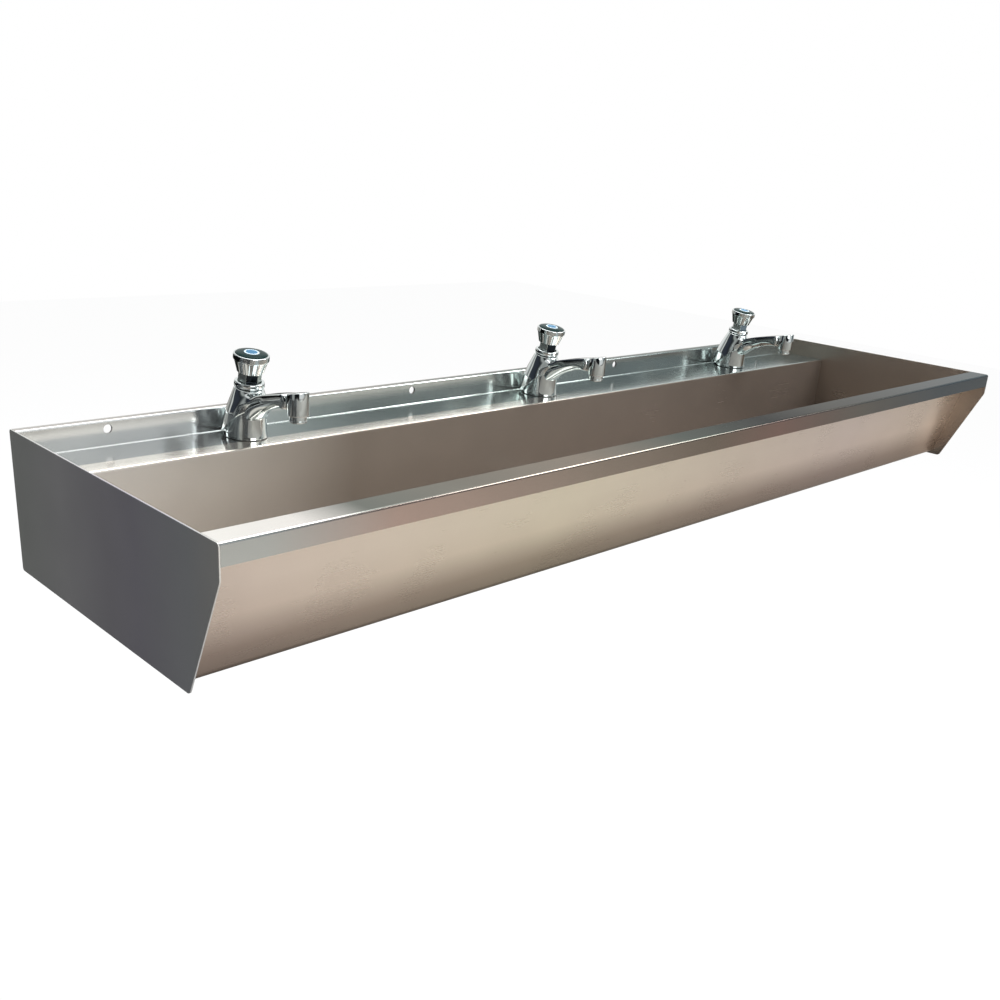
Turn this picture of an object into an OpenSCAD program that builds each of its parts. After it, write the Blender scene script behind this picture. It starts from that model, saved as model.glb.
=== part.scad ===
// Wall-hung trough sink: a folded steel trough with a recessed tap ledge,
// two end panels, a waste outlet and three self-closing push taps.
// X runs along the trough, the wall is the plane y = 0, the front is at -Y and +Z is up.
// The origin is the middle of the row of wall-fixing holes, on the wall.

/* [Trough] */
// Overall length over both end panels
trough_l = 1800; // [1650:10:2400]
// Depth from the wall to the front flange
trough_d = 500; // [460:5:620]
// Height of the end panels
panel_h = 190; // [170:5:260]
// Thickness of the folded trough sheet
sheet_t = 1.5; // [1.2:0.1:2.5]
// Thickness of an end panel
panel_t = 2; // [1.5:0.1:4]
// Inner radius of the tight folds
fold_r = 1.5; // [1:0.1:3]
// Inner radius of the folds at the foot of the bowl
bowl_r = 14; // [8:1:30]
// Height of the bowl's underside over the lower edge of the end panels
bowl_lift = 2; // [0.5:0.5:10]

/* [Rim, ledge and wall return] */
// Width of the flat front rim
rim_w = 38; // [25:1:50]
// Height of the front flange that turns down from the rim
flange_h = 25; // [15:1:35]
// Distance of the foot of the bowl's front wall from the front flange
front_foot = 86; // [60:1:110]
// Drop of the tap ledge under the rim
ledge_drop = 35; // [30:1:50]
// Width of the tap ledge
ledge_w = 100; // [90:1:130]
// Width of the return from the upstand to the wall
return_w = 15; // [12:1:25]
// Height of the lip that turns down along the wall
return_lip = 5; // [3:0.5:5.5]

/* [End panels] */
// Height of the upright front edge of an end panel
panel_front_h = 40; // [35:1:60]
// Distance of the panel's lower front corner from its front edge
panel_foot = 68; // [50:1:85]
// Radius of the panel's lower front corner
panel_foot_r = 8; // [2:1:15]
// Radius of the panel's other corners
panel_corner_r = 4; // [1:0.5:6]

/* [Wall fixing] */
// Diameter of a fixing hole
fix_hole_d = 12; // [8:0.5:12]
// Distance of the outer fixing holes from the ends of the trough
fix_margin = 120; // [80:5:200]
// Depth of the fixing holes under the top edge
fix_drop = 12; // [11.5:0.5:15]
// Height of the fixing rail behind the upstand
rail_h = 26; // [24:0.5:30]
// Sheet thickness of the fixing rail
rail_t = 2; // [1.5:0.1:3]
// Distance of the rail's ends from the end panels
rail_inset = 30; // [10:5:60]
// Length of the plate that closes the fixing rail at its middle, against the wall
rail_plate_l = 40; // [20:5:80]

/* [Waste] */
// Place of the waste along the trough, from its middle
waste_x = 0; // [-600:10:600]
// Radius of the waste tail's thread
tail_r = 23.9; // [20:0.1:24]
// Radius of the waste bore
waste_bore_r = 20.5; // [16:0.5:20.5]
// Length of the waste tail under the bowl
tail_l = 58; // [45:1:90]
// Radius of the waste flange
waste_flange_r = 36; // [34:0.5:45]
// Thickness of the waste flange
waste_flange_t = 4; // [3.5:0.1:6]
// Radius of the waste grid
grid_r = 27; // [25:0.5:28]
// Thickness of the waste grid
grid_t = 2; // [1:0.1:2.5]
// Width of the waste nut across its flats
waste_nut_af = 64; // [60:1:75]
// Thickness of the waste nut
waste_nut_t = 9; // [6:0.5:14]

/* [Taps] */
// Distance between neighbouring taps
tap_pitch = 600; // [450:10:620]
// Forward lean of a tap's axis in degrees
tap_lean = 9.5; // [0:0.5:12]
// Distance of a tap's axis from its hole towards the wall, at the ledge
axis_back = 7.5; // [0:0.5:9]
// Travel of a push knob
push_travel = 6; // [3:0.5:6]
// Radius of the tap foot's round ends
foot_r = 27.5; // [25:0.5:29]
// Distance between the centres of the foot's round ends
foot_stretch = 15; // [4:1:18]
// Offset of the foot's middle towards the wall from the tap's hole
foot_back = 7; // [0:0.5:8]
// Height of the body's top face, along the tap's axis
body_u = 75; // [72:0.5:80]
// Outer radius of the collar
collar_r = 21.5; // [20.5:0.5:24]
// Height of the collar
collar_h = 8; // [7.5:0.5:9.5]
// Reach of the spout from the tap's hole to the outlet
spout_reach = 123; // [100:1:150]
// Width of the spout
spout_w = 27; // [22:0.5:29]
// Height of the spout's tip over the ledge
spout_tip_z = 83; // [78:0.5:88]
// Height of the spout's top line over the ledge, at the tap's hole
spout_root_z = 57; // [50:0.5:60]
// Radius of the spout's round nose
nose_r = 14.5; // [13.5:0.5:16]
// Height of the nose's lower edge over the ledge
nose_z = 57; // [54:0.5:60]
// Radius of the flow outlet under the nose
outlet_r = 12; // [11:0.5:13]
// Height of the flow outlet's visible ring
outlet_h = 9; // [6:0.5:12]
// Radius of the inlet shank's thread
shank_r = 10.48; // [10:0.01:10.5]
// Length of the inlet shank under the ledge
shank_l = 46; // [40:1:60]

/* [Push knobs] */
// Height of the knob's top face, along the tap's axis
knob_top_u = 121.5; // [118:0.5:126]
// Height of the knob itself
knob_h = 26; // [25:0.5:29]
// Radius of the knob's top ring
knob_r = 24.5; // [24:0.5:28]
// Radius of the knob's lower edge
knob_low_r = 18; // [17.8:0.1:19]
// Height of the plain ring round the knob's top
knob_ring_h = 7; // [5:0.5:9]
// Number of flutes round the knob
flute_n = 16; // [10:1:18]
// Radius of one flute's cutter
flute_r = 2.8; // [2.2:0.1:3]
// Depth of a flute
flute_depth = 0.7; // [0.4:0.1:0.8]
// Radius of the dark top disc
disc_r = 22; // [20:0.5:22.5]
// Rise of the disc's middle over the knob's top ring
disc_rise = 2.4; // [0.5:0.1:4]
// Radius of the coloured index
index_r = 10.5; // [7:0.5:12]
// Width of the neck across its flats
neck_af = 28; // [26:0.5:28]

/* [Hidden] */
$fn = 48;

// Overrun of every cutter past the face that it cuts
over = 1;
// Slip between pieces that are screwed or pushed together
slip = 0.1;
// Room round a piece that moves past another
room = 0.3;
// Width and depth of the relief grooves that end a thread's free part
relief_w = 2;
relief_depth = 0.6;
// Radial clearance of the spindle in its guide
guide_fit = 0.05;
// Steps of one fold's arc in the sheet's outline
fold_steps = 6;

// Levels of the trough
top_z = fix_drop;
foot_z = top_z - panel_h;
ledge_z = top_z - ledge_drop;
bowl_z = foot_z + bowl_lift + sheet_t;
// Places across the trough
upstand_y = -return_w;
ledge_y = -return_w - ledge_w;
bowl_front_y = -trough_d + front_foot;
shell_l = trough_l - 2 * panel_t;
bowl_mid_y = (bowl_front_y + ledge_y) / 2;

// Wall fixing
fix_n = 4;
fix_pitch = (trough_l - 2 * fix_margin) / (fix_n - 1);
fix_xs = [for (k = [0 : fix_n - 1]) (k - (fix_n - 1) / 2) * fix_pitch];
rail_top_z = top_z - return_lip - slip;

// Waste
waste_seal_t = 1;
waste_washer_t = 3;
waste_washer_r = 38;
grid_seat = 2.2;
waste_hole_r = tail_r + over;
waste_flange_z = bowl_z + waste_seal_t;
waste_nut_z = bowl_z - sheet_t - waste_washer_t - waste_nut_t;
waste_top_z = waste_flange_z + waste_flange_t;
bar_w = 8;
bar_t = 6;
screw_r = 2.5;
screw_head_r = 4.6;
screw_head_h = 1.8;
grid_hole_r = 1.7;
grid_hole_pitch = 6.4;
grid_rows = 3;

// Taps
tap_xs = [-tap_pitch, 0, tap_pitch];
tap_y = -return_w - ledge_w / 2;
tap_seal_t = 1;
tap_seal_inset = 1.5;
foot_h = 4;
waist_z = 34;
waist_r = 27.5;
waist_back = 3;
tap_hole_r = shank_r + over;
shank_bore_r = 7;
shank_depth = 14;
tap_washer_r = 18;
tap_washer_t = 2;
backnut_af = 30;
backnut_t = 8;
backnut_z = -sheet_t - tap_washer_t - backnut_t;
// Cartridge, along the tap's axis
cartridge_r = 14.5;
cavity_floor_u = 22;
flange_r = 17;
cartridge_flange_h = 3;
neck_lap = 3.5;
neck_top_u = knob_top_u - knob_h + neck_lap;
neck_turn = 8;
chamber_r = 9;
chamber_floor_u = 40;
chamber_roof_u = body_u + 13;
inlet_way_r = 6;
port_r = 2.5;
// Collar
collar_lip_r = neck_af / 2 / cos(180 / 6) + 2 * room;
collar_round = 1.5;
// Spindle and spring
spindle_r = 4;
spindle_flange_r = 8;
spindle_flange_h = 3;
spindle_foot_u = chamber_floor_u + push_travel + over;
wire_r = 0.9;
coil_r = 6.4;
coil_turns = 7;
coil_rings = 8;
coil_sides = 6;
// Knob
knob_wall = 1.5;
knob_plate_t = 3;
knob_low_u = knob_top_u - knob_h;
ring_low_u = knob_top_u - knob_ring_h;
ring_round = 1.4;
disc_t = 1.8;
disc_seat_r = disc_r + slip;
hub_r = 7;
hub_l = 11;
spindle_top_u = knob_top_u - disc_t - knob_plate_t / 2;
index_t = 0.8;
index_sink = 0.5;
index_seat_u = knob_top_u - slip + disc_rise - index_sink;
// Spout
spout_lip = 6.5;
nose_bore_r = 9.5;
nose_bore_l = 14;
keel_w = 9;
keel_inset = 0.6;
keel_ends = [[20, 32], [44, 40], [82, 54], [spout_reach - nose_r / 2, nose_z + over / 2]];
spout_root_s = 16;
waterway_r = 4;
waterway_root_z = 52;
waterway_tip_z = nose_z + nose_bore_l - waterway_r + over;
waterway_root_s = waterway_root_z * tan(tap_lean) - axis_back + cartridge_r - over;
waterway_rise = waterway_tip_z - waterway_root_z;
waterway_angle = atan2(waterway_rise, spout_reach - waterway_root_s);
waterway_l = norm([spout_reach - waterway_root_s, waterway_rise]);
outlet_spigot_l = 8;
outlet_bore_r = 7.5;
outlet_web_t = 2;
outlet_hole_r = 1.6;
outlet_hole_pitch = 4.4;

// Unit vector along v
function unit(v) = v / norm(v);
// Vector v turned a quarter turn to its left
function left_of(v) = [-v[1], v[0]];
// Vector v turned by an angle in degrees
function turned(v, a) = [v[0] * cos(a) - v[1] * sin(a), v[0] * sin(a) + v[1] * cos(a)];
// Angle in degrees, to the left, from direction a to direction b
function turn_angle(a, b) = atan2(a[0] * b[1] - a[1] * b[0], a[0] * b[0] + a[1] * b[1]);

// Arc that rounds corner p between directions a and b with radius r on the path,
// moved sideways by t to the right of the path
function corner_arc(p, a, b, r, t) =
    let (
        angle = turn_angle(a, b),
        side = sign(angle),
        normal = side * left_of(a),
        centre = p - a * r * tan(abs(angle) / 2) + normal * r,
        reach = r + side * t
    )
    [for (k = [0 : fold_steps]) centre - turned(normal, angle * k / fold_steps) * reach];

// Outline of a sheet of thickness t, folded along a path of corners; the path is the
// sheet's left side, and radii are the inner radii of its folds
function fold_outline(path, radii, t) =
    let (
        n = len(path) - 1,
        dirs = [for (k = [0 : n - 1]) unit(path[k + 1] - path[k])],
        turns = [for (k = [1 : n - 1]) turn_angle(dirs[k - 1], dirs[k])],
        path_r = [for (k = [1 : n - 1]) radii[k - 1] + (turns[k - 1] < 0 ? t : 0)],
        left = [for (k = [1 : n - 1]) each corner_arc(path[k], dirs[k - 1], dirs[k], path_r[k - 1], 0)],
        right = [for (k = [n - 1 : -1 : 1])
            let (arc = corner_arc(path[k], dirs[k - 1], dirs[k], path_r[k - 1], t))
            each [for (j = [fold_steps : -1 : 0]) arc[j]]]
    )
    concat(
        [path[0]], left, [path[n]],
        [path[n] - left_of(dirs[n - 1]) * t], right, [path[0] - left_of(dirs[0]) * t]
    );

// Closed outline with its corners rounded, going round to the left
function round_outline(points, radii) =
    let (n = len(points))
    [for (k = [0 : n - 1])
        let (
            a = unit(points[k] - points[(k + n - 1) % n]),
            b = unit(points[(k + 1) % n] - points[k])
        )
        each corner_arc(points[k], a, b, radii[k], 0)];

// Section of the trough, from the lower edge of the front flange to the lip at the wall
trough_path = [
    [-trough_d, top_z - flange_h],
    [-trough_d, top_z],
    [-trough_d + rim_w, top_z],
    [bowl_front_y, bowl_z],
    [ledge_y, bowl_z],
    [ledge_y, ledge_z],
    [upstand_y, ledge_z],
    [upstand_y, top_z],
    [0, top_z],
    [0, top_z - return_lip]
];
trough_radii = [fold_r, fold_r, bowl_r, bowl_r, fold_r, fold_r, fold_r, fold_r];

// Side view of an end panel
panel_points = [
    [0, foot_z],
    [0, top_z],
    [-trough_d, top_z],
    [-trough_d, top_z - panel_front_h],
    [-trough_d + panel_foot, foot_z]
];
panel_radii = [panel_corner_r, panel_corner_r, panel_corner_r, panel_corner_r, panel_foot_r];

// Lays a section in the plane across the trough and draws it out along X, about x = 0
module along_trough(length) {
    rotate([90, 0, 90]) linear_extrude(height = length, center = true) children();
}

// Places a piece at one tap's hole, on the ledge
module at_tap(k) {
    translate([tap_xs[k], tap_y, ledge_z]) children();
}

// Turns a piece into the tap's leaning axis
module leaning() {
    translate([0, axis_back, 0]) rotate([tap_lean, 0, 0]) children();
}

// Ring or disc with its lower face at height z
module ring(outer_r, inner_r, z, height) {
    translate([0, 0, z]) difference() {
        cylinder(r = outer_r, h = height);
        translate([0, 0, -over]) cylinder(r = inner_r, h = height + 2 * over);
    }
}

// Hexagonal nut with its lower face at height z
module hex_nut(across_flats, bore_r, z, height) {
    translate([0, 0, z]) difference() {
        cylinder(r = across_flats / 2 / cos(180 / 6), h = height, $fn = 6);
        translate([0, 0, -over]) cylinder(r = bore_r, h = height + 2 * over);
    }
}

module trough_shell() {
    color([0.70, 0.67, 0.62]) difference() {
        along_trough(shell_l) polygon(fold_outline(trough_path, trough_radii, sheet_t));
        for (x = fix_xs)
            translate([x, upstand_y + sheet_t + over, 0]) rotate([90, 0, 0])
                cylinder(d = fix_hole_d, h = sheet_t + 2 * over);
        for (x = tap_xs)
            translate([x, tap_y, ledge_z - sheet_t - over]) cylinder(r = tap_hole_r, h = sheet_t + 2 * over);
        translate([waste_x, bowl_mid_y, bowl_z - sheet_t - over])
            cylinder(r = waste_hole_r, h = sheet_t + 2 * over);
    }
}

module end_panel(side) {
    color([0.36, 0.38, 0.38]) translate([side * (trough_l - panel_t) / 2, 0, 0])
        along_trough(panel_t) polygon(round_outline(panel_points, panel_radii));
}

module fixing_rail() {
    rail_front_y = upstand_y + sheet_t;
    color([0.62, 0.62, 0.60]) difference() {
        union() {
            along_trough(shell_l - 2 * rail_inset) difference() {
                translate([rail_front_y, rail_top_z - rail_h]) square([-rail_front_y, rail_h]);
                translate([rail_front_y + rail_t, rail_top_z - rail_h + rail_t])
                    square([-rail_front_y, rail_h - 2 * rail_t]);
            }
            along_trough(rail_plate_l) translate([-rail_t, rail_top_z - rail_h]) square([rail_t, rail_h]);
        }
        for (x = fix_xs)
            translate([x, rail_front_y + rail_t + over, 0]) rotate([90, 0, 0])
                cylinder(d = fix_hole_d, h = rail_t + 2 * over);
    }
}

// Places a piece at the waste's hole, with z = 0 at the frame's level
module at_waste() {
    translate([waste_x, bowl_mid_y, 0]) children();
}

module waste_flange() {
    bar_top_z = waste_top_z - grid_seat;
    color([0.78, 0.78, 0.76]) at_waste() {
        rotate_extrude() polygon([
            [waste_bore_r, bowl_z - tail_l],
            [tail_r, bowl_z - tail_l],
            [tail_r, waste_nut_z - relief_w],
            [tail_r - relief_depth, waste_nut_z - relief_w],
            [tail_r - relief_depth, waste_nut_z],
            [tail_r, waste_nut_z],
            [tail_r, waste_flange_z],
            [waste_flange_r, waste_flange_z],
            [waste_flange_r, waste_flange_z + waste_flange_t / 4],
            [grid_r + (waste_flange_r - grid_r) / 2, waste_top_z],
            [grid_r + slip, waste_top_z],
            [grid_r + slip, waste_top_z - grid_seat],
            [waste_bore_r, waste_top_z - grid_seat]
        ]);
        difference() {
            intersection() {
                translate([-tail_r, -bar_w / 2, bar_top_z - bar_t]) cube([2 * tail_r, bar_w, bar_t]);
                translate([0, 0, bar_top_z - bar_t - over]) cylinder(r = tail_r - over, h = bar_t + 2 * over);
            }
            translate([0, 0, bar_top_z - bar_t - over])
                cylinder(r = screw_r + slip / 2, h = bar_t + 2 * over);
        }
    }
}

module waste_grid() {
    grid_z = waste_top_z - grid_seat;
    color([0.74, 0.74, 0.72]) at_waste() difference() {
        translate([0, 0, grid_z]) cylinder(r = grid_r, h = grid_t);
        translate([0, 0, grid_z - over]) cylinder(r = screw_r + slip, h = grid_t + 2 * over);
        for (row = [1 : grid_rows], k = [0 : 6 * row - 1])
            rotate([0, 0, k * 360 / (6 * row)]) translate([row * grid_hole_pitch, 0, grid_z - over])
                cylinder(r = grid_hole_r, h = grid_t + 2 * over);
    }
}

module waste_screw() {
    head_z = waste_top_z - grid_seat + grid_t;
    slot_w = screw_head_r / 4;
    color([0.80, 0.80, 0.78]) at_waste() difference() {
        union() {
            translate([0, 0, head_z]) cylinder(r = screw_head_r, h = screw_head_h);
            translate([0, 0, head_z - grid_t - bar_t]) cylinder(r = screw_r, h = grid_t + bar_t + over / 2);
        }
        translate([-screw_head_r - over, -slot_w / 2, head_z + screw_head_h / 2])
            cube([2 * (screw_head_r + over), slot_w, screw_head_h]);
    }
}

module waste_seal() {
    color([0.12, 0.12, 0.12]) at_waste()
        ring(waste_flange_r - over, tail_r + slip, bowl_z, waste_seal_t);
}

module waste_washer() {
    color([0.12, 0.12, 0.12]) at_waste()
        ring(waste_washer_r, tail_r + slip, bowl_z - sheet_t - waste_washer_t, waste_washer_t);
}

module waste_backnut() {
    color([0.75, 0.63, 0.38]) at_waste()
        hex_nut(waste_nut_af, tail_r + slip, waste_nut_z, waste_nut_t);
}

// Oval plate that follows the tap's foot, drawn in by inset
module foot_plate(z, height, inset) {
    for (side = [-1, 1])
        translate([0, foot_back + side * foot_stretch / 2, z]) cylinder(r = foot_r - inset, h = height);
    translate([-foot_r + inset, foot_back - foot_stretch / 2, z])
        cube([2 * (foot_r - inset), foot_stretch, height]);
}

// Height of the spout's top line at a distance s in front of the tap's hole
function spout_top(s) = spout_root_z + (spout_tip_z - spout_root_z) * s / spout_reach;

// Upright slice of the spout's flat lip, between two distances from the tap's hole
// and two shares of the lip's thickness, drawn in by inset on both sides
module spout_slice(near_s, far_s, top_share, low_share, inset) {
    rotate([90, 0, 90]) linear_extrude(height = spout_w - 2 * inset, center = true) polygon([
        [-near_s, spout_top(near_s) - spout_lip * low_share],
        [-far_s, spout_top(far_s) - spout_lip * low_share],
        [-far_s, spout_top(far_s) - spout_lip * top_share],
        [-near_s, spout_top(near_s) - spout_lip * top_share]
    ]);
}

// Arm of the spout: a flat lip with a keel under it, in steps along the spout
module spout_arm() {
    spout_slice(spout_root_s, spout_reach, 0, 1, 0);
    for (k = [0 : len(keel_ends) - 2])
        hull() {
            spout_slice(keel_ends[k][0], keel_ends[k + 1][0] + over, 1 / 3, 4 / 5, keel_inset * (k + 1));
            rotate([90, 0, 90]) linear_extrude(height = keel_w, center = true) polygon([
                [-keel_ends[k][0], keel_ends[k][1]],
                [-keel_ends[k][0], keel_ends[k][1] + keel_w],
                [-keel_ends[k + 1][0], keel_ends[k + 1][1] + keel_w],
                [-keel_ends[k + 1][0], keel_ends[k + 1][1]]
            ]);
        }
}

module tap_body() {
    color([0.72, 0.74, 0.76]) difference() {
        union() {
            hull() {
                for (side = [-1, 1])
                    translate([0, foot_back + side * foot_stretch / 2, tap_seal_t])
                        cylinder(r = foot_r, h = foot_h, $fn = 40);
                translate([0, waist_back, waist_z])
                    cylinder(r = waist_r, h = foot_h, center = true, $fn = 40);
                leaning() translate([0, 0, body_u - foot_h]) cylinder(r = collar_r, h = foot_h, $fn = 40);
            }
            spout_arm();
            translate([0, -spout_reach, nose_z]) cylinder(r = nose_r, h = spout_tip_z - nose_z);
        }
        leaning() translate([0, 0, cavity_floor_u])
            cylinder(r = cartridge_r + slip, h = body_u - cavity_floor_u + over);
        translate([0, 0, tap_seal_t - over]) cylinder(r = shank_r + slip, h = shank_depth + over);
        translate([0, 0, tap_seal_t]) cylinder(r = inlet_way_r, h = cavity_floor_u + over);
        translate([0, -spout_reach, nose_z - over]) cylinder(r = nose_bore_r, h = nose_bore_l + over);
        translate([0, -waterway_root_s, waterway_root_z]) rotate([90 - waterway_angle, 0, 0])
            cylinder(r = waterway_r, h = waterway_l);
    }
}

module tap_collar() {
    flange_room_r = flange_r + slip;
    flange_top = cartridge_flange_h + slip;
    color([0.80, 0.81, 0.82]) leaning() translate([0, 0, body_u]) rotate_extrude() polygon([
        [flange_room_r, 0],
        [collar_r - collar_round / 2, 0],
        [collar_r, collar_round / 2],
        for (a = [0 : 15 : 90])
            [collar_r - collar_round * (1 - cos(a)), collar_h - collar_round * (1 - sin(a))],
        [collar_lip_r + collar_round / 2, collar_h],
        [collar_lip_r, collar_h - collar_round / 2],
        [collar_lip_r, flange_top],
        [flange_room_r, flange_top]
    ]);
}

module tap_cartridge() {
    seat_u = body_u;
    color([0.42, 0.44, 0.45]) leaning() difference() {
        union() {
            translate([0, 0, cavity_floor_u]) cylinder(r = cartridge_r, h = seat_u - cavity_floor_u);
            translate([0, 0, seat_u]) cylinder(r = flange_r, h = cartridge_flange_h);
            translate([0, 0, seat_u]) rotate([0, 0, neck_turn])
                cylinder(r = neck_af / 2 / cos(180 / 6), h = neck_top_u - seat_u, $fn = 6);
        }
        translate([0, 0, chamber_floor_u]) cylinder(r = chamber_r, h = chamber_roof_u - chamber_floor_u);
        translate([0, 0, chamber_roof_u - over])
            cylinder(r = spindle_r + guide_fit, h = neck_top_u - chamber_roof_u + 2 * over);
        translate([0, 0, cavity_floor_u - over])
            cylinder(r = inlet_way_r, h = chamber_floor_u - cavity_floor_u - 2 * over);
        translate([0, 0, waterway_root_z]) rotate([90, 0, 0]) cylinder(r = port_r, h = cartridge_r + over);
    }
}

module tap_spindle() {
    flange_u = chamber_roof_u - room - spindle_flange_h;
    color([0.70, 0.58, 0.36]) leaning() {
        translate([0, 0, spindle_foot_u]) cylinder(r = spindle_r, h = spindle_top_u - spindle_foot_u);
        translate([0, 0, flange_u]) cylinder(r = spindle_flange_r, h = spindle_flange_h);
    }
}

// Wire of the return spring: rings of points along a helix
coil_low_u = chamber_floor_u + wire_r;
coil_high_u = chamber_roof_u - room - spindle_flange_h - wire_r;
coil_n = coil_turns * coil_rings;
function coil_point(k) = [
    coil_r * cos(360 * k / coil_rings),
    coil_r * sin(360 * k / coil_rings),
    coil_low_u + (coil_high_u - coil_low_u) * k / coil_n
];
// One ring of wire points, in the plane through the spring's axis
function coil_ring(k) = [for (s = [0 : coil_sides - 1])
    let (a = 360 * s / coil_sides, c = coil_point(k), out = wire_r * cos(a))
    c + [out * cos(360 * k / coil_rings), out * sin(360 * k / coil_rings), wire_r * sin(a)]];

module tap_spring() {
    points = [for (k = [0 : coil_n]) each coil_ring(k)];
    last = coil_n * coil_sides;
    sides = [for (k = [0 : coil_n - 1], s = [0 : coil_sides - 1])
        let (a = k * coil_sides + s, b = k * coil_sides + (s + 1) % coil_sides)
        each [[a, b, b + coil_sides], [a, b + coil_sides, a + coil_sides]]];
    start_cap = [for (s = [1 : coil_sides - 2]) [0, s + 1, s]];
    end_cap = [for (s = [1 : coil_sides - 2]) [last, last + s, last + s + 1]];
    color([0.60, 0.60, 0.58]) leaning() polyhedron(points, concat(sides, start_cap, end_cap));
}

module tap_knob() {
    skirt_h = ring_low_u - knob_low_u;
    slope = atan2(knob_r - ring_round - knob_low_r, skirt_h);
    flute_l = skirt_h / cos(slope) - flute_r - over;
    inner_low_r = knob_low_r - knob_wall;
    seat_u = knob_top_u - disc_t;
    color([0.80, 0.81, 0.82]) leaning() difference() {
        rotate_extrude() polygon([
            [knob_low_r, knob_low_u],
            for (a = [-90 : 30 : 0])
                [knob_r - ring_round * (1 - cos(a)), ring_low_u + ring_round * (1 + sin(a))],
            for (a = [0 : 30 : 90])
                [knob_r - ring_round * (1 - cos(a)), knob_top_u - ring_round * (1 - sin(a))],
            [disc_seat_r, knob_top_u],
            [disc_seat_r, seat_u],
            [spindle_r + slip, seat_u],
            [spindle_r + slip, seat_u - hub_l],
            [hub_r, seat_u - hub_l],
            [hub_r, seat_u - knob_plate_t],
            [disc_r - knob_wall, seat_u - knob_plate_t],
            [inner_low_r, knob_low_u + skirt_h / 3],
            [inner_low_r, knob_low_u]
        ]);
        for (k = [0 : flute_n - 1])
            rotate([0, 0, (k + 1 / 2) * 360 / flute_n])
                translate([knob_low_r + flute_r - flute_depth, 0, knob_low_u]) rotate([0, slope, 0]) {
                    translate([0, 0, -over]) cylinder(r = flute_r, h = flute_l + over);
                    translate([0, 0, flute_l]) sphere(r = flute_r);
                }
    }
}

module tap_disc() {
    disc_u = knob_top_u - disc_t;
    seat_r = index_r + slip;
    color([0.05, 0.16, 0.15]) leaning() rotate_extrude() polygon([
        [0, disc_u],
        [disc_r, disc_u],
        for (a = [0 : 15 : 90])
            [disc_r - (disc_r - seat_r) * (1 - cos(a)), knob_top_u - slip + disc_rise * sin(a)],
        [seat_r, index_seat_u],
        [0, index_seat_u]
    ]);
}

module tap_index() {
    color([0.16, 0.42, 0.66]) leaning()
        translate([0, 0, index_seat_u]) cylinder(r = index_r, h = index_t);
}

module tap_outlet() {
    web_z = outlet_h / 2;
    color([0.78, 0.79, 0.80]) translate([0, -spout_reach, nose_z - outlet_h]) difference() {
        union() {
            cylinder(r = outlet_r, h = outlet_h);
            translate([0, 0, outlet_h - over / 2])
                cylinder(r = nose_bore_r - slip, h = outlet_spigot_l + over / 2);
        }
        translate([0, 0, -over]) cylinder(r = outlet_bore_r, h = web_z + over);
        translate([0, 0, web_z + outlet_web_t]) cylinder(r = outlet_bore_r, h = outlet_h + outlet_spigot_l);
        cylinder(r = outlet_hole_r, h = outlet_h);
        for (k = [0 : 5])
            rotate([0, 0, 60 * k]) translate([outlet_hole_pitch, 0, 0])
                cylinder(r = outlet_hole_r, h = outlet_h);
    }
}

module tap_seal() {
    color([0.10, 0.10, 0.10]) difference() {
        foot_plate(0, tap_seal_t, tap_seal_inset);
        translate([0, 0, -over]) cylinder(r = shank_r + slip, h = tap_seal_t + 2 * over);
    }
}

module tap_shank() {
    color([0.75, 0.63, 0.38]) rotate_extrude() polygon([
        [shank_bore_r, -sheet_t - shank_l],
        [shank_r, -sheet_t - shank_l],
        [shank_r, backnut_z - relief_w],
        [shank_r - relief_depth, backnut_z - relief_w],
        [shank_r - relief_depth, backnut_z],
        [shank_r, backnut_z],
        [shank_r, tap_seal_t + shank_depth - slip],
        [shank_bore_r, tap_seal_t + shank_depth - slip]
    ]);
}

module tap_washer() {
    color([0.65, 0.65, 0.63]) ring(tap_washer_r, shank_r + slip, -sheet_t - tap_washer_t, tap_washer_t);
}

module tap_backnut() {
    color([0.75, 0.63, 0.38]) hex_nut(backnut_af, shank_r + slip, backnut_z, backnut_t);
}

trough_shell();
end_panel(-1);  // end_panel_left
end_panel(1);  // end_panel_right
fixing_rail();
waste_flange();
waste_grid();
waste_screw();
waste_seal();
waste_washer();
waste_backnut();
at_tap(0) tap_body();  // tap_body_left
at_tap(1) tap_body();  // tap_body_middle
at_tap(2) tap_body();  // tap_body_right
at_tap(0) tap_collar();  // tap_collar_left
at_tap(1) tap_collar();  // tap_collar_middle
at_tap(2) tap_collar();  // tap_collar_right
at_tap(0) tap_cartridge();  // tap_cartridge_left
at_tap(1) tap_cartridge();  // tap_cartridge_middle
at_tap(2) tap_cartridge();  // tap_cartridge_right
at_tap(0) tap_spindle();  // tap_spindle_left
at_tap(1) tap_spindle();  // tap_spindle_middle
at_tap(2) tap_spindle();  // tap_spindle_right
at_tap(0) tap_spring();  // tap_spring_left
at_tap(1) tap_spring();  // tap_spring_middle
at_tap(2) tap_spring();  // tap_spring_right
at_tap(0) tap_knob();  // tap_knob_left
at_tap(1) tap_knob();  // tap_knob_middle
at_tap(2) tap_knob();  // tap_knob_right
at_tap(0) tap_disc();  // tap_disc_left
at_tap(1) tap_disc();  // tap_disc_middle
at_tap(2) tap_disc();  // tap_disc_right
at_tap(0) tap_index();  // tap_index_left
at_tap(1) tap_index();  // tap_index_middle
at_tap(2) tap_index();  // tap_index_right
at_tap(0) tap_outlet();  // tap_outlet_left
at_tap(1) tap_outlet();  // tap_outlet_middle
at_tap(2) tap_outlet();  // tap_outlet_right
at_tap(0) tap_seal();  // tap_seal_left
at_tap(1) tap_seal();  // tap_seal_middle
at_tap(2) tap_seal();  // tap_seal_right
at_tap(0) tap_shank();  // tap_shank_left
at_tap(1) tap_shank();  // tap_shank_middle
at_tap(2) tap_shank();  // tap_shank_right
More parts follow.
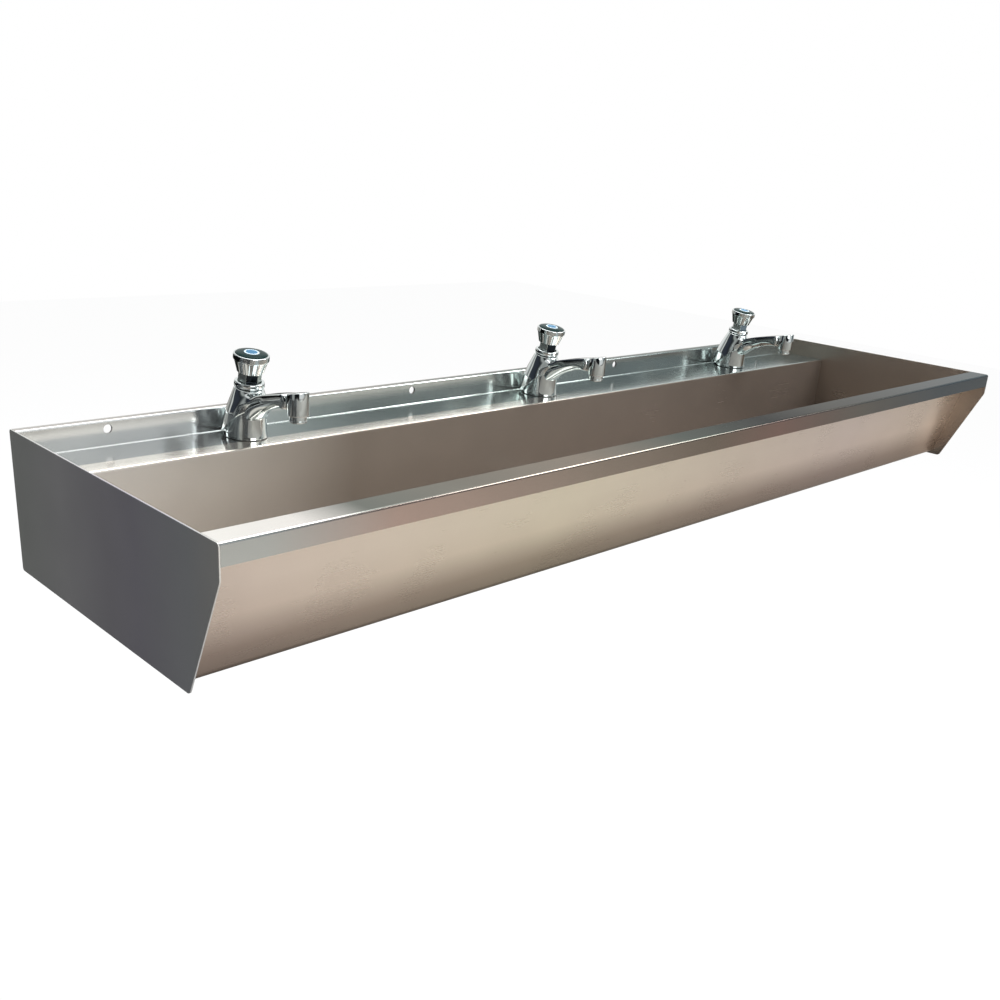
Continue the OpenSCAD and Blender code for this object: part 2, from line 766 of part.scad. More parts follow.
at_tap(0) tap_washer();  // tap_washer_left
at_tap(1) tap_washer();  // tap_washer_middle
at_tap(2) tap_washer();  // tap_washer_right
at_tap(0) tap_backnut();  // tap_backnut_left
at_tap(1) tap_backnut();  // tap_backnut_middle
at_tap(2) tap_backnut();  // tap_backnut_right
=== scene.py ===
"""Looks of a wall-hung steel wash trough with three push taps, in the frame of its CAD parts.

X runs along the trough, Y = 0 is the wall and the front is at negative Y, Z = 0 is the row of
fixing holes. Sizes and places are written in millimetres and multiplied by MM where they enter
Blender, whose unit is the metre. Pieces that move ride on the CAD body of their push button.
"""

import logging
import math
from dataclasses import dataclass
from enum import Enum
from typing import Callable, Sequence

import bmesh
import bpy
from mathutils import Matrix, Vector


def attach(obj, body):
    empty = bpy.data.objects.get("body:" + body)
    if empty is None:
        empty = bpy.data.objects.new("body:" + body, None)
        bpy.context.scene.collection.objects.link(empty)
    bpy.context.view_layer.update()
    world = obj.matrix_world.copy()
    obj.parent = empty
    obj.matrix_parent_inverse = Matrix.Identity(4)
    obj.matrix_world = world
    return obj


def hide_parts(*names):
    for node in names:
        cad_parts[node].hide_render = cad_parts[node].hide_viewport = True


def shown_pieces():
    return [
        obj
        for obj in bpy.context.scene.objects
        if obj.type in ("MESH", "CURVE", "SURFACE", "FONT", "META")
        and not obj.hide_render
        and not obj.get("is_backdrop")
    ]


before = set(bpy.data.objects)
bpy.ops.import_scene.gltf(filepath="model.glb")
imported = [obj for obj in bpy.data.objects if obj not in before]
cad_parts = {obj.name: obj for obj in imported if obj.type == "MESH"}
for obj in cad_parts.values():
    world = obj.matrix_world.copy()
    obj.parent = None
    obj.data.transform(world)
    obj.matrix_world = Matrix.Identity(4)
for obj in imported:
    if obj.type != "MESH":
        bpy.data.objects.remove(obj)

MM = 0.001
# Half the trough's length, and places that several pieces share, in millimetres
HALF_LENGTH = 900.0
INNER_X = 898.0
FRONT_Y = -500.0
TOP_Z = 12.0
LOW_Z = -178.0
LEDGE_Z = -23.0
TAP_Y = -65.0
TAP_PITCH = 600.0
# How near a point counts as being at a place, in millimetres
NEAR = 0.05
# How near two points are merged, in millimetres
SAME = 0.002
# Radius in metres of the ring that a loft starts from, before its points go to their places
START_RADIUS = 0.01
# How much of a face's normal points one way when the face looks there, roughly and squarely
FACING = 0.5
SQUARELY = 0.9
LOG = logging.getLogger("trough")

Point2 = tuple[float, float]
Point3 = tuple[float, float, float]
Stops = tuple[tuple[float, str], ...]


class Axis(Enum):
    """An axis of the row's frame, by its place in a vector."""

    X = 0
    Y = 1
    Z = 2


class Side(Enum):
    """An end of the trough, by the sign of its X."""

    LEFT = -1
    RIGHT = 1


# Bench: the hand tools


def mm(*values: float) -> Vector:
    """A vector in metres from values in millimetres."""
    return Vector(values) * MM


def take(*objects: bpy.types.Object) -> None:
    """Selects pieces in object mode, with the first one active, and nothing else.

    Args:
        objects: The pieces to select. With none, the selection is only cleared.
    """
    if bpy.context.object is not None and bpy.context.object.mode != "OBJECT":
        bpy.ops.object.mode_set(mode="OBJECT")
    bpy.ops.object.select_all(action="DESELECT")
    for one in objects:
        one.select_set(True)
    if objects:
        bpy.context.view_layer.objects.active = objects[0]


def edit(piece: bpy.types.Object, mode: str = "VERT") -> None:
    """Opens a piece in edit mode with nothing selected.

    Args:
        piece: The piece to open.
        mode: What is selected there: VERT, EDGE or FACE.
    """
    take(piece)
    bpy.ops.object.mode_set(mode="EDIT")
    bpy.ops.mesh.select_mode(type=mode)
    bpy.ops.mesh.select_all(action="DESELECT")


def pick_edges(test: Callable[[Vector, Vector], bool]) -> None:
    """Selects, in edit mode, the edges whose two ends pass a test.

    Args:
        test: Takes the places of both ends in millimetres.
    """
    mesh = bpy.context.edit_object.data
    for edge in bmesh.from_edit_mesh(mesh).edges:
        if test(*(end.co / MM for end in edge.verts)):
            edge.select_set(True)
    bmesh.update_edit_mesh(mesh)


def pick_faces(test: Callable[[Vector, Vector], bool]) -> None:
    """Selects, in edit mode, the faces whose middle and normal pass a test.

    Args:
        test: Takes the middle in millimetres and the normal.
    """
    mesh = bpy.context.edit_object.data
    for face in bmesh.from_edit_mesh(mesh).faces:
        if test(face.calc_center_median() / MM, face.normal):
            face.select_set(True)
    bmesh.update_edit_mesh(mesh)


def dress_picked(piece: bpy.types.Object, place: int) -> None:
    """Gives the faces picked in edit mode one of the piece's materials.

    Args:
        piece: The piece in edit mode.
        place: The material's place in the piece's list.
    """
    piece.active_material_index = place
    bpy.ops.object.material_slot_assign()


def pick_again(piece: bpy.types.Object, indices: Sequence[int]) -> None:
    """Selects vertices in edit mode, with the faces between them.

    Args:
        piece: The piece in edit mode.
        indices: The numbers of the vertices.
    """
    work = bmesh.from_edit_mesh(piece.data)
    work.verts.ensure_lookup_table()
    for index in indices:
        work.verts[index].select_set(True)
    work.select_flush(True)
    bmesh.update_edit_mesh(piece.data)


def extrude_in_place(piece: bpy.types.Object) -> list[int]:
    """Extrudes the selected faces by nothing.

    Args:
        piece: The piece in edit mode.

    Returns:
        The numbers of the new vertices.
    """
    bpy.ops.mesh.select_mode(type="FACE")
    bpy.ops.mesh.extrude_region_move(TRANSFORM_OT_translate={"value": (0, 0, 0)})
    bpy.ops.mesh.select_mode(type="VERT")
    return [v.index for v in bmesh.from_edit_mesh(piece.data).verts if v.select]


def carry(piece: bpy.types.Object, index: int, place: Vector) -> None:
    """Moves one vertex.

    Args:
        piece: The piece in edit mode.
        index: The vertex's number.
        place: Where it goes, in metres.
    """
    bpy.ops.mesh.select_all(action="DESELECT")
    work = bmesh.from_edit_mesh(piece.data)
    work.verts.ensure_lookup_table()
    vertex = work.verts[index]
    vertex.select_set(True)
    bpy.ops.transform.translate(value=place - vertex.co)


def settle(piece: bpy.types.Object) -> None:
    """Writes a piece's place, turn and scale into its mesh."""
    take(piece)
    bpy.ops.object.transform_apply(location=True, rotation=True, scale=True)


def apply_modifier(piece: bpy.types.Object, kind: str, **settings: object) -> None:
    """Adds a modifier to a piece and applies it.

    Args:
        piece: The piece that gets it.
        kind: Blender's name of the modifier type.
        settings: Its settings by name.
    """
    take(piece)
    modifier = piece.modifiers.new(kind.title(), kind)
    for key, value in settings.items():
        setattr(modifier, key, value)
    bpy.ops.object.modifier_apply(modifier=modifier.name)


def add_block(name: str, low: Point3, high: Point3) -> bpy.types.Object:
    """Adds a block between two corners.

    Args:
        name: Name of the new piece.
        low: Lowest corner in millimetres.
        high: Highest corner in millimetres.

    Returns:
        The block.
    """
    a, b = Vector(low) * MM, Vector(high) * MM
    take()
    bpy.ops.mesh.primitive_cube_add(size=1, location=(a + b) / 2)
    piece = bpy.context.object
    piece.name = name
    piece.scale = b - a
    settle(piece)
    return piece


def add_rod(
    name: str, foot: Point3, radius: float, height: float, sides: int = 64
) -> bpy.types.Object:
    """Adds an upright rod.

    Args:
        name: Name of the new piece.
        foot: Middle of its lower end in millimetres.
        radius: Its radius in millimetres.
        height: Its height in millimetres.
        sides: How many flat sides go round it.

    Returns:
        The rod.
    """
    take()
    bpy.ops.mesh.primitive_cylinder_add(
        vertices=sides,
        radius=radius * MM,
        depth=height * MM,
        location=(Vector(foot) + Vector((0, 0, height / 2))) * MM,
    )
    piece = bpy.context.object
    piece.name = name
    settle(piece)
    return piece


def cut(piece: bpy.types.Object, tool: bpy.types.Object) -> None:
    """Cuts one piece out of another and removes the tool.

    Args:
        piece: The piece that is cut.
        tool: The piece that is taken away from it.
    """
    apply_modifier(piece, "BOOLEAN", operation="DIFFERENCE", solver="EXACT", object=tool)
    take(tool)
    bpy.ops.object.delete()


def close_up(piece: bpy.types.Object) -> None:
    """Merges a piece's doubled vertices and turns its normals outward."""
    edit(piece)
    bpy.ops.mesh.select_all(action="SELECT")
    bpy.ops.mesh.remove_doubles(threshold=SAME * MM)
    bpy.ops.mesh.normals_make_consistent(inside=False)
    take(piece)


def smooth(piece: bpy.types.Object, angle: float = 35.0, weighted: bool = True) -> None:
    """Shades a piece smooth up to an angle between faces.

    Args:
        piece: The piece to shade.
        angle: Edges sharper than this stay sharp, in degrees.
        weighted: Whether large faces keep their own normal.
    """
    take(piece)
    bpy.ops.object.shade_smooth_by_angle(angle=math.radians(angle))
    if weighted:
        apply_modifier(piece, "WEIGHTED_NORMAL", keep_sharp=True, weight=80)


def round_edges(piece: bpy.types.Object, width: float, segments: int = 3, angle: float = 40.0) -> None:
    """Rounds all of a piece's sharp edges.

    Args:
        piece: The piece to round.
        width: Width of the rounding in millimetres.
        segments: Steps across the rounding.
        angle: Edges sharper than this are rounded, in degrees.
    """
    apply_modifier(
        piece,
        "BEVEL",
        width=width * MM,
        segments=segments,
        limit_method="ANGLE",
        angle_limit=math.radians(angle),
        use_clamp_overlap=True,
    )


def join(name: str, *parts: bpy.types.Object) -> bpy.types.Object:
    """Joins pieces into one.

    Args:
        name: Name of the joined piece.
        parts: The pieces.

    Returns:
        The joined piece.
    """
    take(*parts)
    bpy.ops.object.join()
    piece = bpy.context.object
    piece.name = name
    return piece


def lathe(name: str, centre: Point3, profile: Sequence[Point2], steps: int = 96) -> bpy.types.Object:
    """Turns a closed profile about an upright axis.

    Args:
        name: Name of the new piece.
        centre: A point of the axis, where heights are 0, in millimetres.
        profile: Points of radius and height in millimetres, in order.
        steps: Steps of the full turn.

    Returns:
        The turned piece.
    """
    middle = Vector(centre) * MM
    places = [middle + mm(r, 0, h) for r, h in profile]
    take()
    bpy.ops.mesh.primitive_plane_add(size=MM, location=places[0])
    piece = bpy.context.object
    piece.name = name
    settle(piece)
    edit(piece)
    bpy.ops.mesh.select_all(action="SELECT")
    bpy.ops.mesh.merge(type="CENTER")
    for here, there in zip(places, [*places[1:], places[0]]):
        bpy.ops.mesh.extrude_vertices_move(TRANSFORM_OT_translate={"value": there - here})
    bpy.ops.mesh.select_all(action="SELECT")
    bpy.ops.mesh.spin(steps=steps, angle=math.tau, center=middle, axis=(0, 0, 1))
    close_up(piece)
    return piece


def loft(name: str, rings: Sequence[Sequence[Point3]]) -> bpy.types.Object:
    """Draws a skin through rings of points, from a disc that is extruded ring by ring.

    Args:
        name: Name of the new piece.
        rings: Rings with the same number of points each, in millimetres.

    Returns:
        The closed piece.
    """
    count = len(rings[0])
    take()
    bpy.ops.mesh.primitive_circle_add(vertices=count, radius=START_RADIUS, fill_type="NGON")
    piece = bpy.context.object
    piece.name = name
    edit(piece)
    bpy.ops.mesh.select_all(action="SELECT")
    now = [v.co.copy() for v in bmesh.from_edit_mesh(piece.data).verts]
    chosen = list(range(count))
    for k, ring in enumerate(rings):
        if k:
            chosen = extrude_in_place(piece)
        work = bmesh.from_edit_mesh(piece.data)
        work.verts.ensure_lookup_table()
        order = []
        for place in now:
            nearest = min(chosen, key=lambda i: (work.verts[i].co - place).length)
            chosen.remove(nearest)
            order.append(nearest)
        now = [Vector(p) * MM for p in ring]
        for index, place in zip(order, now):
            carry(piece, index, place)
        pick_again(piece, order)
    close_up(piece)
    return piece


def copy_along(piece: bpy.types.Object, name: str, step: float) -> bpy.types.Object:
    """Copies a piece with its own mesh and moves the copy's mesh along X.

    Args:
        piece: The piece to copy.
        name: Name of the copy.
        step: How far along X in millimetres.

    Returns:
        The copy.
    """
    take(piece)
    bpy.ops.object.duplicate(linked=False)
    twin = bpy.context.object
    twin.name = name
    edit(twin)
    bpy.ops.mesh.select_all(action="SELECT")
    bpy.ops.transform.translate(value=(step * MM, 0, 0))
    take(twin)
    return twin


# Paints


def linear(code: str) -> tuple[float, float, float, float]:
    """A colour code such as #8a8b8c as Blender's linear colour."""
    shares = [int(code[k : k + 2], 16) / 255 for k in (1, 3, 5)]
    return (*(s / 12.92 if s <= 0.04045 else ((s + 0.055) / 1.055) ** 2.4 for s in shares), 1.0)


class Wire:
    """A shader output that takes part in sums like a number."""

    def __init__(self, board: "Board", socket: bpy.types.NodeSocket) -> None:
        """Wraps a socket of a board's node tree."""
        self.board = board
        self.socket = socket

    def _sum(self, kind: str, a: "Wire | float", b: "Wire | float") -> "Wire":
        """One Math node with two inputs."""
        return self.board.node("ShaderNodeMath", {0: a, 1: b}, operation=kind)

    def __add__(self, other: "Wire | float") -> "Wire":
        """self + other."""
        return self._sum("ADD", self, other)

    __radd__ = __add__

    def __mul__(self, other: "Wire | float") -> "Wire":
        """self * other."""
        return self._sum("MULTIPLY", self, other)

    __rmul__ = __mul__

    def __sub__(self, other: "Wire | float") -> "Wire":
        """self - other."""
        return self._sum("SUBTRACT", self, other)

    def __truediv__(self, other: "Wire | float") -> "Wire":
        """self / other."""
        return self._sum("DIVIDE", self, other)

    def steps(self, low: float, high: float) -> "Wire":
        """A smooth step from 0 at low to 1 at high."""
        return self.board.node(
            "ShaderNodeMapRange",
            {"Value": self, "From Min": low, "From Max": high},
            interpolation_type="SMOOTHSTEP",
        )


class Board:
    """A node tree with one method that adds any node."""

    def __init__(self, tree: bpy.types.NodeTree) -> None:
        """Clears a node tree."""
        self.tree = tree
        tree.nodes.clear()

    def node(
        self,
        kind: str,
        inputs: dict[int | str, object] | None = None,
        output: int | str = 0,
        **settings: object,
    ) -> Wire:
        """Adds a node.

        Args:
            kind: Blender's name of the node type.
            inputs: Wires to link or constants to set, by input.
            output: The output that is returned.
            settings: The node's own settings.

        Returns:
            The output as a wire.
        """
        made = self.tree.nodes.new(kind)
        for key, value in settings.items():
            setattr(made, key, value)
        for key, value in (inputs or {}).items():
            if isinstance(value, Wire):
                self.tree.links.new(value.socket, made.inputs[key])
            else:
                made.inputs[key].default_value = value
        return Wire(self, made.outputs[output] if made.outputs else made.inputs[0])

    def ramp(self, share: Wire, stops: Stops) -> Wire:
        """A colour that runs through stops.

        Args:
            share: Where on the ramp, from 0 to 1.
            stops: Pairs of share and colour code.

        Returns:
            The colour.
        """
        wire = self.node("ShaderNodeValToRGB", {0: share})
        band = wire.socket.node.color_ramp
        while len(band.elements) > 1:
            band.elements.remove(band.elements[-1])
        band.elements[0].position = stops[0][0]
        band.elements[0].color = linear(stops[0][1])
        for place, code in stops[1:]:
            band.elements.new(place).color = linear(code)
        return wire

    def tint(self, colour: Wire, by: Wire) -> Wire:
        """A colour multiplied by another."""
        return self.node(
            "ShaderNodeMix", {0: 1.0, 6: colour, 7: by}, 2, data_type="RGBA", blend_type="MULTIPLY"
        )

    def blend(self, share: Wire | float, a: Wire | tuple, b: Wire | tuple) -> Wire:
        """A colour between two.

        Args:
            share: 0 gives the first, 1 the second.
            a: The first colour.
            b: The second colour.

        Returns:
            The mix.
        """
        return self.node("ShaderNodeMix", {0: share, 6: a, 7: b}, 2, data_type="RGBA")

    def scaled(self, colour: Wire, by: Wire | float) -> Wire:
        """A colour made lighter or darker by a number."""
        return self.node("ShaderNodeVectorMath", {0: colour, "Scale": by}, operation="SCALE")

    def place(self) -> Wire:
        """The object's own coordinates."""
        return self.node("ShaderNodeTexCoord", output="Object")

    def along(self, axis: Axis, low: float, high: float) -> Wire:
        """Share of the way along an axis.

        Args:
            axis: The axis.
            low: Where the share is 0, in millimetres.
            high: Where the share is 1, in millimetres.

        Returns:
            The share, kept between 0 and 1.
        """
        part = self.node("ShaderNodeSeparateXYZ", {0: self.place()}, axis.value)
        return self.node(
            "ShaderNodeMapRange", {"Value": part, "From Min": low * MM, "From Max": high * MM}
        )

    def noise(self, scale: float | Point3, detail: float) -> Wire:
        """A noise around 0.

        Args:
            scale: Features per metre, for all axes or for each.
            detail: Octaves.

        Returns:
            The noise, from about -0.5 to 0.5.
        """
        steps = scale if isinstance(scale, tuple) else (scale, scale, scale)
        vector = self.node("ShaderNodeVectorMath", {0: self.place(), 1: steps}, operation="MULTIPLY")
        return self.node("ShaderNodeTexNoise", {"Vector": vector, "Scale": 1.0, "Detail": detail}) - 0.5

    def grained(self, grain: Axis, across: float, along: float, detail: float) -> Wire:
        """A noise drawn out along one axis.

        Args:
            grain: The axis.
            across: Features per metre across it.
            along: Features per metre along it.
            detail: Octaves.

        Returns:
            The noise, from about -0.5 to 0.5.
        """
        scale = [across] * 3
        scale[grain.value] = along
        return self.noise(tuple(scale), detail)


def new_material(name: str) -> tuple[bpy.types.Material, Board]:
    """Makes an empty material.

    Args:
        name: Its name.

    Returns:
        The material and its board.
    """
    material = bpy.data.materials.new(name)
    material.use_nodes = True
    return material, Board(material.node_tree)


def surface(board: Board, **inputs: object) -> None:
    """Ends a board in a Principled surface.

    Args:
        board: The board.
        inputs: The surface's inputs, with underscores for spaces.
    """
    shader = board.node(
        "ShaderNodeBsdfPrincipled", {key.replace("_", " "): value for key, value in inputs.items()}
    )
    board.node("ShaderNodeOutputMaterial", {"Surface": shader})


@dataclass(frozen=True)
class PaintedHighlight:
    """A painted highlight: a soft-edged field of another colour on a face.

    Fields: colour; where it fades along X, from the place where it is whole to where it ends; the
    same across the face, with the axis of that fade. Places are in millimetres.
    """

    colour: str
    fade_x: Point2
    fade_across: Point2
    across_axis: Axis = Axis.Y

    def share(self, board: Board) -> Wire:
        """The painted highlight's cover, 1 inside and 0 outside."""
        length = board.along(Axis.X, *reversed(self.fade_x))
        return length * board.along(self.across_axis, *reversed(self.fade_across))


@dataclass(frozen=True)
class SteelNoise:
    """How the satin of the steel varies.

    Fields: scales of the streaks, clouds, mottling and scratches in features per metre; how much
    they shade the colour and change the gloss; strength and depth in millimetres of the scratches.
    """

    streak_across: float = 420.0
    streak_along: float = 14.0
    cloud_scale: float = 9.0
    mottle_scale: float = 330.0
    scratch_across: float = 700.0
    scratch_along: float = 8.0
    cloud_shade: float = 0.16
    mottle_shade: float = 0.02
    streak_shade: float = 0.02
    cloud_gloss: float = 0.05
    streak_gloss: float = 0.03
    scratch_strength: float = 0.005
    scratch_depth: float = 0.1


@dataclass(frozen=True)
class SteelFinish:
    """Satin steel, painted by gradients along the trough and across a face; on the trough these
    gradients are painted reflections and painted shade.

    Fields: name; stops along X from the left end to the right; the axis across the face with its
    two ends in millimetres and its stops, which multiply; gloss as roughness; axis of the grain;
    share of metal; brightness of the gloss at a grazing angle; a painted highlight in another
    colour; noise.
    """

    name: str
    along: Stops
    across_axis: Axis = Axis.Z
    across_ends: Point2 = (LOW_Z, TOP_Z)
    across: Stops = ((0.0, "#ffffff"), (1.0, "#ffffff"))
    roughness: float = 0.26
    grain: Axis = Axis.X
    metal: float = 0.9
    edge: float = 0.4
    painted_highlight: PaintedHighlight | None = None
    noise: SteelNoise = SteelNoise()

    def material(self) -> bpy.types.Material:
        """Builds the material."""
        material, board = new_material(self.name)
        noise = self.noise
        colour = board.tint(
            board.ramp(board.along(Axis.X, -HALF_LENGTH, HALF_LENGTH), self.along),
            board.ramp(board.along(self.across_axis, *self.across_ends), self.across),
        )
        # Blends in the painted highlight, where the finish has one.
        if self.painted_highlight is not None:
            colour = board.blend(self.painted_highlight.share(board), colour, linear(self.painted_highlight.colour))
        streaks = board.grained(self.grain, noise.streak_across, noise.streak_along, 3.0)
        cloud = board.noise(noise.cloud_scale, 2.0)
        mottle = board.noise(noise.mottle_scale, 1.0)
        shade = cloud * noise.cloud_shade + mottle * noise.mottle_shade + streaks * noise.streak_shade
        scratches = board.grained(self.grain, noise.scratch_across, noise.scratch_along, 2.0)
        surface(
            board,
            Base_Color=board.scaled(colour, 1.0 + shade),
            Metallic=self.metal,
            Roughness=self.roughness + streaks * noise.streak_gloss + cloud * noise.cloud_gloss,
            Normal=board.node(
                "ShaderNodeBump",
                {
                    "Height": scratches, "Strength": noise.scratch_strength,
                    "Distance": noise.scratch_depth * MM,
                },
            ),
            Specular_Tint=(*[self.edge] * 3, 1.0),
        )
        return material


@dataclass(frozen=True)
class PolishFinish:
    """Smooth or turned metal, with faint wipe marks that change its gloss.

    Fields: name; colour; gloss as roughness; how much the wipe marks and specks change it and how
    much the marks shade the colour; their scales in features per metre.
    """

    name: str
    colour: str
    roughness: float = 0.05
    wipe: float = 0.05
    speck: float = 0.01
    shade: float = 0.06
    wipe_scale: float = 45.0
    speck_scale: float = 900.0

    def material(self) -> bpy.types.Material:
        """Builds the material."""
        material, board = new_material(self.name)
        marks = board.noise(self.wipe_scale, 3.0)
        specks = board.noise(self.speck_scale, 1.0)
        base = board.ramp(marks + 0.5, ((0.5, self.colour),))
        surface(
            board,
            Base_Color=board.scaled(base, 1.0 + marks * self.shade),
            Metallic=1.0,
            Roughness=self.roughness + marks * self.wipe + specks * self.speck,
        )
        return material


@dataclass(frozen=True)
class LacquerFinish:
    """Glossy or dull coloured plastic, rubber or paint.

    Fields: name; colour and its darker shade; gloss as roughness; strength of the gloss; how much
    specks change it; scales of clouds and specks in features per metre.
    """

    name: str
    colour: str
    shade: str
    roughness: float = 0.2
    specular: float = 0.5
    speck: float = 0.06
    cloud_scale: float = 160.0
    speck_scale: float = 1500.0

    def material(self) -> bpy.types.Material:
        """Builds the material."""
        material, board = new_material(self.name)
        cloud = board.noise(self.cloud_scale, 2.0)
        surface(
            board,
            Base_Color=board.ramp(cloud + 0.5, ((0.25, self.shade), (0.75, self.colour))),
            Roughness=self.roughness + board.noise(self.speck_scale, 1.0) * self.speck,
            Specular_IOR_Level=self.specular,
        )
        return material


# The trough


@dataclass
class TroughShell:
    """The folded sheet, drawn as its user side and given its thickness afterwards.

    Fields: thickness of the sheet; places of the folds; radii of the folds from the front, with the
    steps of a wide and a narrow one; names of the faces from the front; places and radii of the
    holes, and half the length of the tools that cut them.
    """

    thickness: float = 1.5
    flange_low_z: float = -13.0
    rim_back_y: float = -462.0
    floor_front_y: float = -414.0
    floor_z: float = -174.5
    bowl_back_y: float = -115.0
    upstand_y: float = -15.0
    lip_low_z: float = 7.0
    fold_radii: tuple[float, ...] = (3, 3, 14, 14, 3, 1.5, 3, 3)
    wide_fold: float = 5.0
    wide_steps: int = 14
    narrow_steps: int = 6
    faces: tuple[str, ...] = (
        "flange", "rim", "front", "floor", "back", "ledge", "upstand", "return", "return",
    )
    fixing_xs: tuple[float, ...] = (-780, -260, 260, 780)
    fixing_r: float = 6.0
    tap_hole_r: float = 11.48
    waste_y: float = -264.5
    waste_hole_r: float = 24.9
    punch: float = 6.0

    @property
    def path(self) -> tuple[Point2, ...]:
        """The corners of the folds as y and z, from the flange's edge to the lip at the wall."""
        return (
            (FRONT_Y, self.flange_low_z),
            (FRONT_Y, TOP_Z),
            (self.rim_back_y, TOP_Z),
            (self.floor_front_y, self.floor_z),
            (self.bowl_back_y, self.floor_z),
            (self.bowl_back_y, LEDGE_Z),
            (self.upstand_y, LEDGE_Z),
            (self.upstand_y, TOP_Z),
            (0, TOP_Z),
            (0, self.lip_low_z),
        )

    def build(self) -> bpy.types.Object:
        """Builds and dresses the shell."""
        piece = self._fold()
        self._holes(piece)
        smooth(piece, 30)
        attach(piece, "sink")
        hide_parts("trough_shell")
        LOG.info("trough shell: %d faces", len(piece.data.polygons))
        return piece

    def _fold(self) -> bpy.types.Object:
        """Draws the strip, gives each face its paint, rounds the folds and thickens it."""
        (y0, z0), (y1, z1) = self.path[:2]
        take()
        bpy.ops.mesh.primitive_plane_add(
            size=1, location=mm(0, (y0 + y1) / 2, (z0 + z1) / 2), rotation=(math.pi / 2, 0, 0)
        )
        piece = bpy.context.object
        piece.name = "trough_shell_sheet"
        piece.scale = (2 * INNER_X * MM, (z1 - z0) * MM, 1)
        settle(piece)
        edit(piece, "EDGE")
        pick_edges(lambda a, b: abs(a.z - z1) < NEAR and abs(b.z - z1) < NEAR)
        for here, there in zip(self.path[1:], self.path[2:]):
            step = mm(0, there[0] - here[0], there[1] - here[1])
            bpy.ops.mesh.extrude_edges_move(TRANSFORM_OT_translate={"value": step})
        self._paint(piece)
        bpy.ops.mesh.select_mode(type="EDGE")
        for k in range(1, len(self.path) - 1):
            self._round_fold(k)
        take(piece)
        apply_modifier(
            piece,
            "SOLIDIFY",
            thickness=self.thickness * MM,
            offset=-1,
            use_even_offset=True,
            use_quality_normals=True,
            material_offset=len(STEEL_INSIDE),
        )
        return piece

    def _round_fold(self, k: int) -> None:
        """Rounds the fold at one corner of the path."""
        before, here, after = (Vector(p) for p in self.path[k - 1 : k + 2])
        turn = (here - before).angle(after - here)
        bpy.ops.mesh.select_all(action="DESELECT")

        def at_fold(end: Vector) -> bool:
            return (Vector((end.y, end.z)) - here).length < NEAR

        pick_edges(lambda a, b: at_fold(a) and at_fold(b))
        radius = self.fold_radii[k - 1]
        bpy.ops.mesh.bevel(
            offset=radius * math.tan(turn / 2) * MM,
            segments=self.wide_steps if radius > self.wide_fold else self.narrow_steps,
            affect="EDGES",
            clamp_overlap=False,
        )

    def _paint(self, piece: bpy.types.Object) -> None:
        """Gives each face of the strip its material, and the sheet's other side its own."""
        for finish in (*STEEL_INSIDE.values(), *STEEL_OUTSIDE.values()):
            piece.data.materials.append(finish.material())
        names = list(STEEL_INSIDE)
        bpy.ops.mesh.select_mode(type="FACE")
        for (ya, za), (yb, zb), name in zip(self.path, self.path[1:], self.faces):
            middle = Vector((0, (ya + yb) / 2, (za + zb) / 2))
            bpy.ops.mesh.select_all(action="DESELECT")
            pick_faces(lambda place, normal: (place - middle).length < NEAR)
            dress_picked(piece, names.index(name))

    def _holes(self, piece: bpy.types.Object) -> None:
        """Cuts the fixing holes, the tap holes and the waste hole."""
        for x in self.fixing_xs:
            take()
            bpy.ops.mesh.primitive_cylinder_add(
                vertices=64,
                radius=self.fixing_r * MM,
                depth=self.punch * MM,
                location=mm(x, self.upstand_y + self.thickness / 2, 0),
                rotation=(math.pi / 2, 0, 0),
            )
            tool = bpy.context.object
            settle(tool)
            cut(piece, tool)
        for x in (-TAP_PITCH, 0, TAP_PITCH):
            foot = (x, TAP_Y, LEDGE_Z - self.punch)
            cut(piece, add_rod("tool", foot, self.tap_hole_r, 2 * self.punch))
        foot = (0, self.waste_y, self.floor_z - self.punch)
        cut(piece, add_rod("tool", foot, self.waste_hole_r, 2 * self.punch))


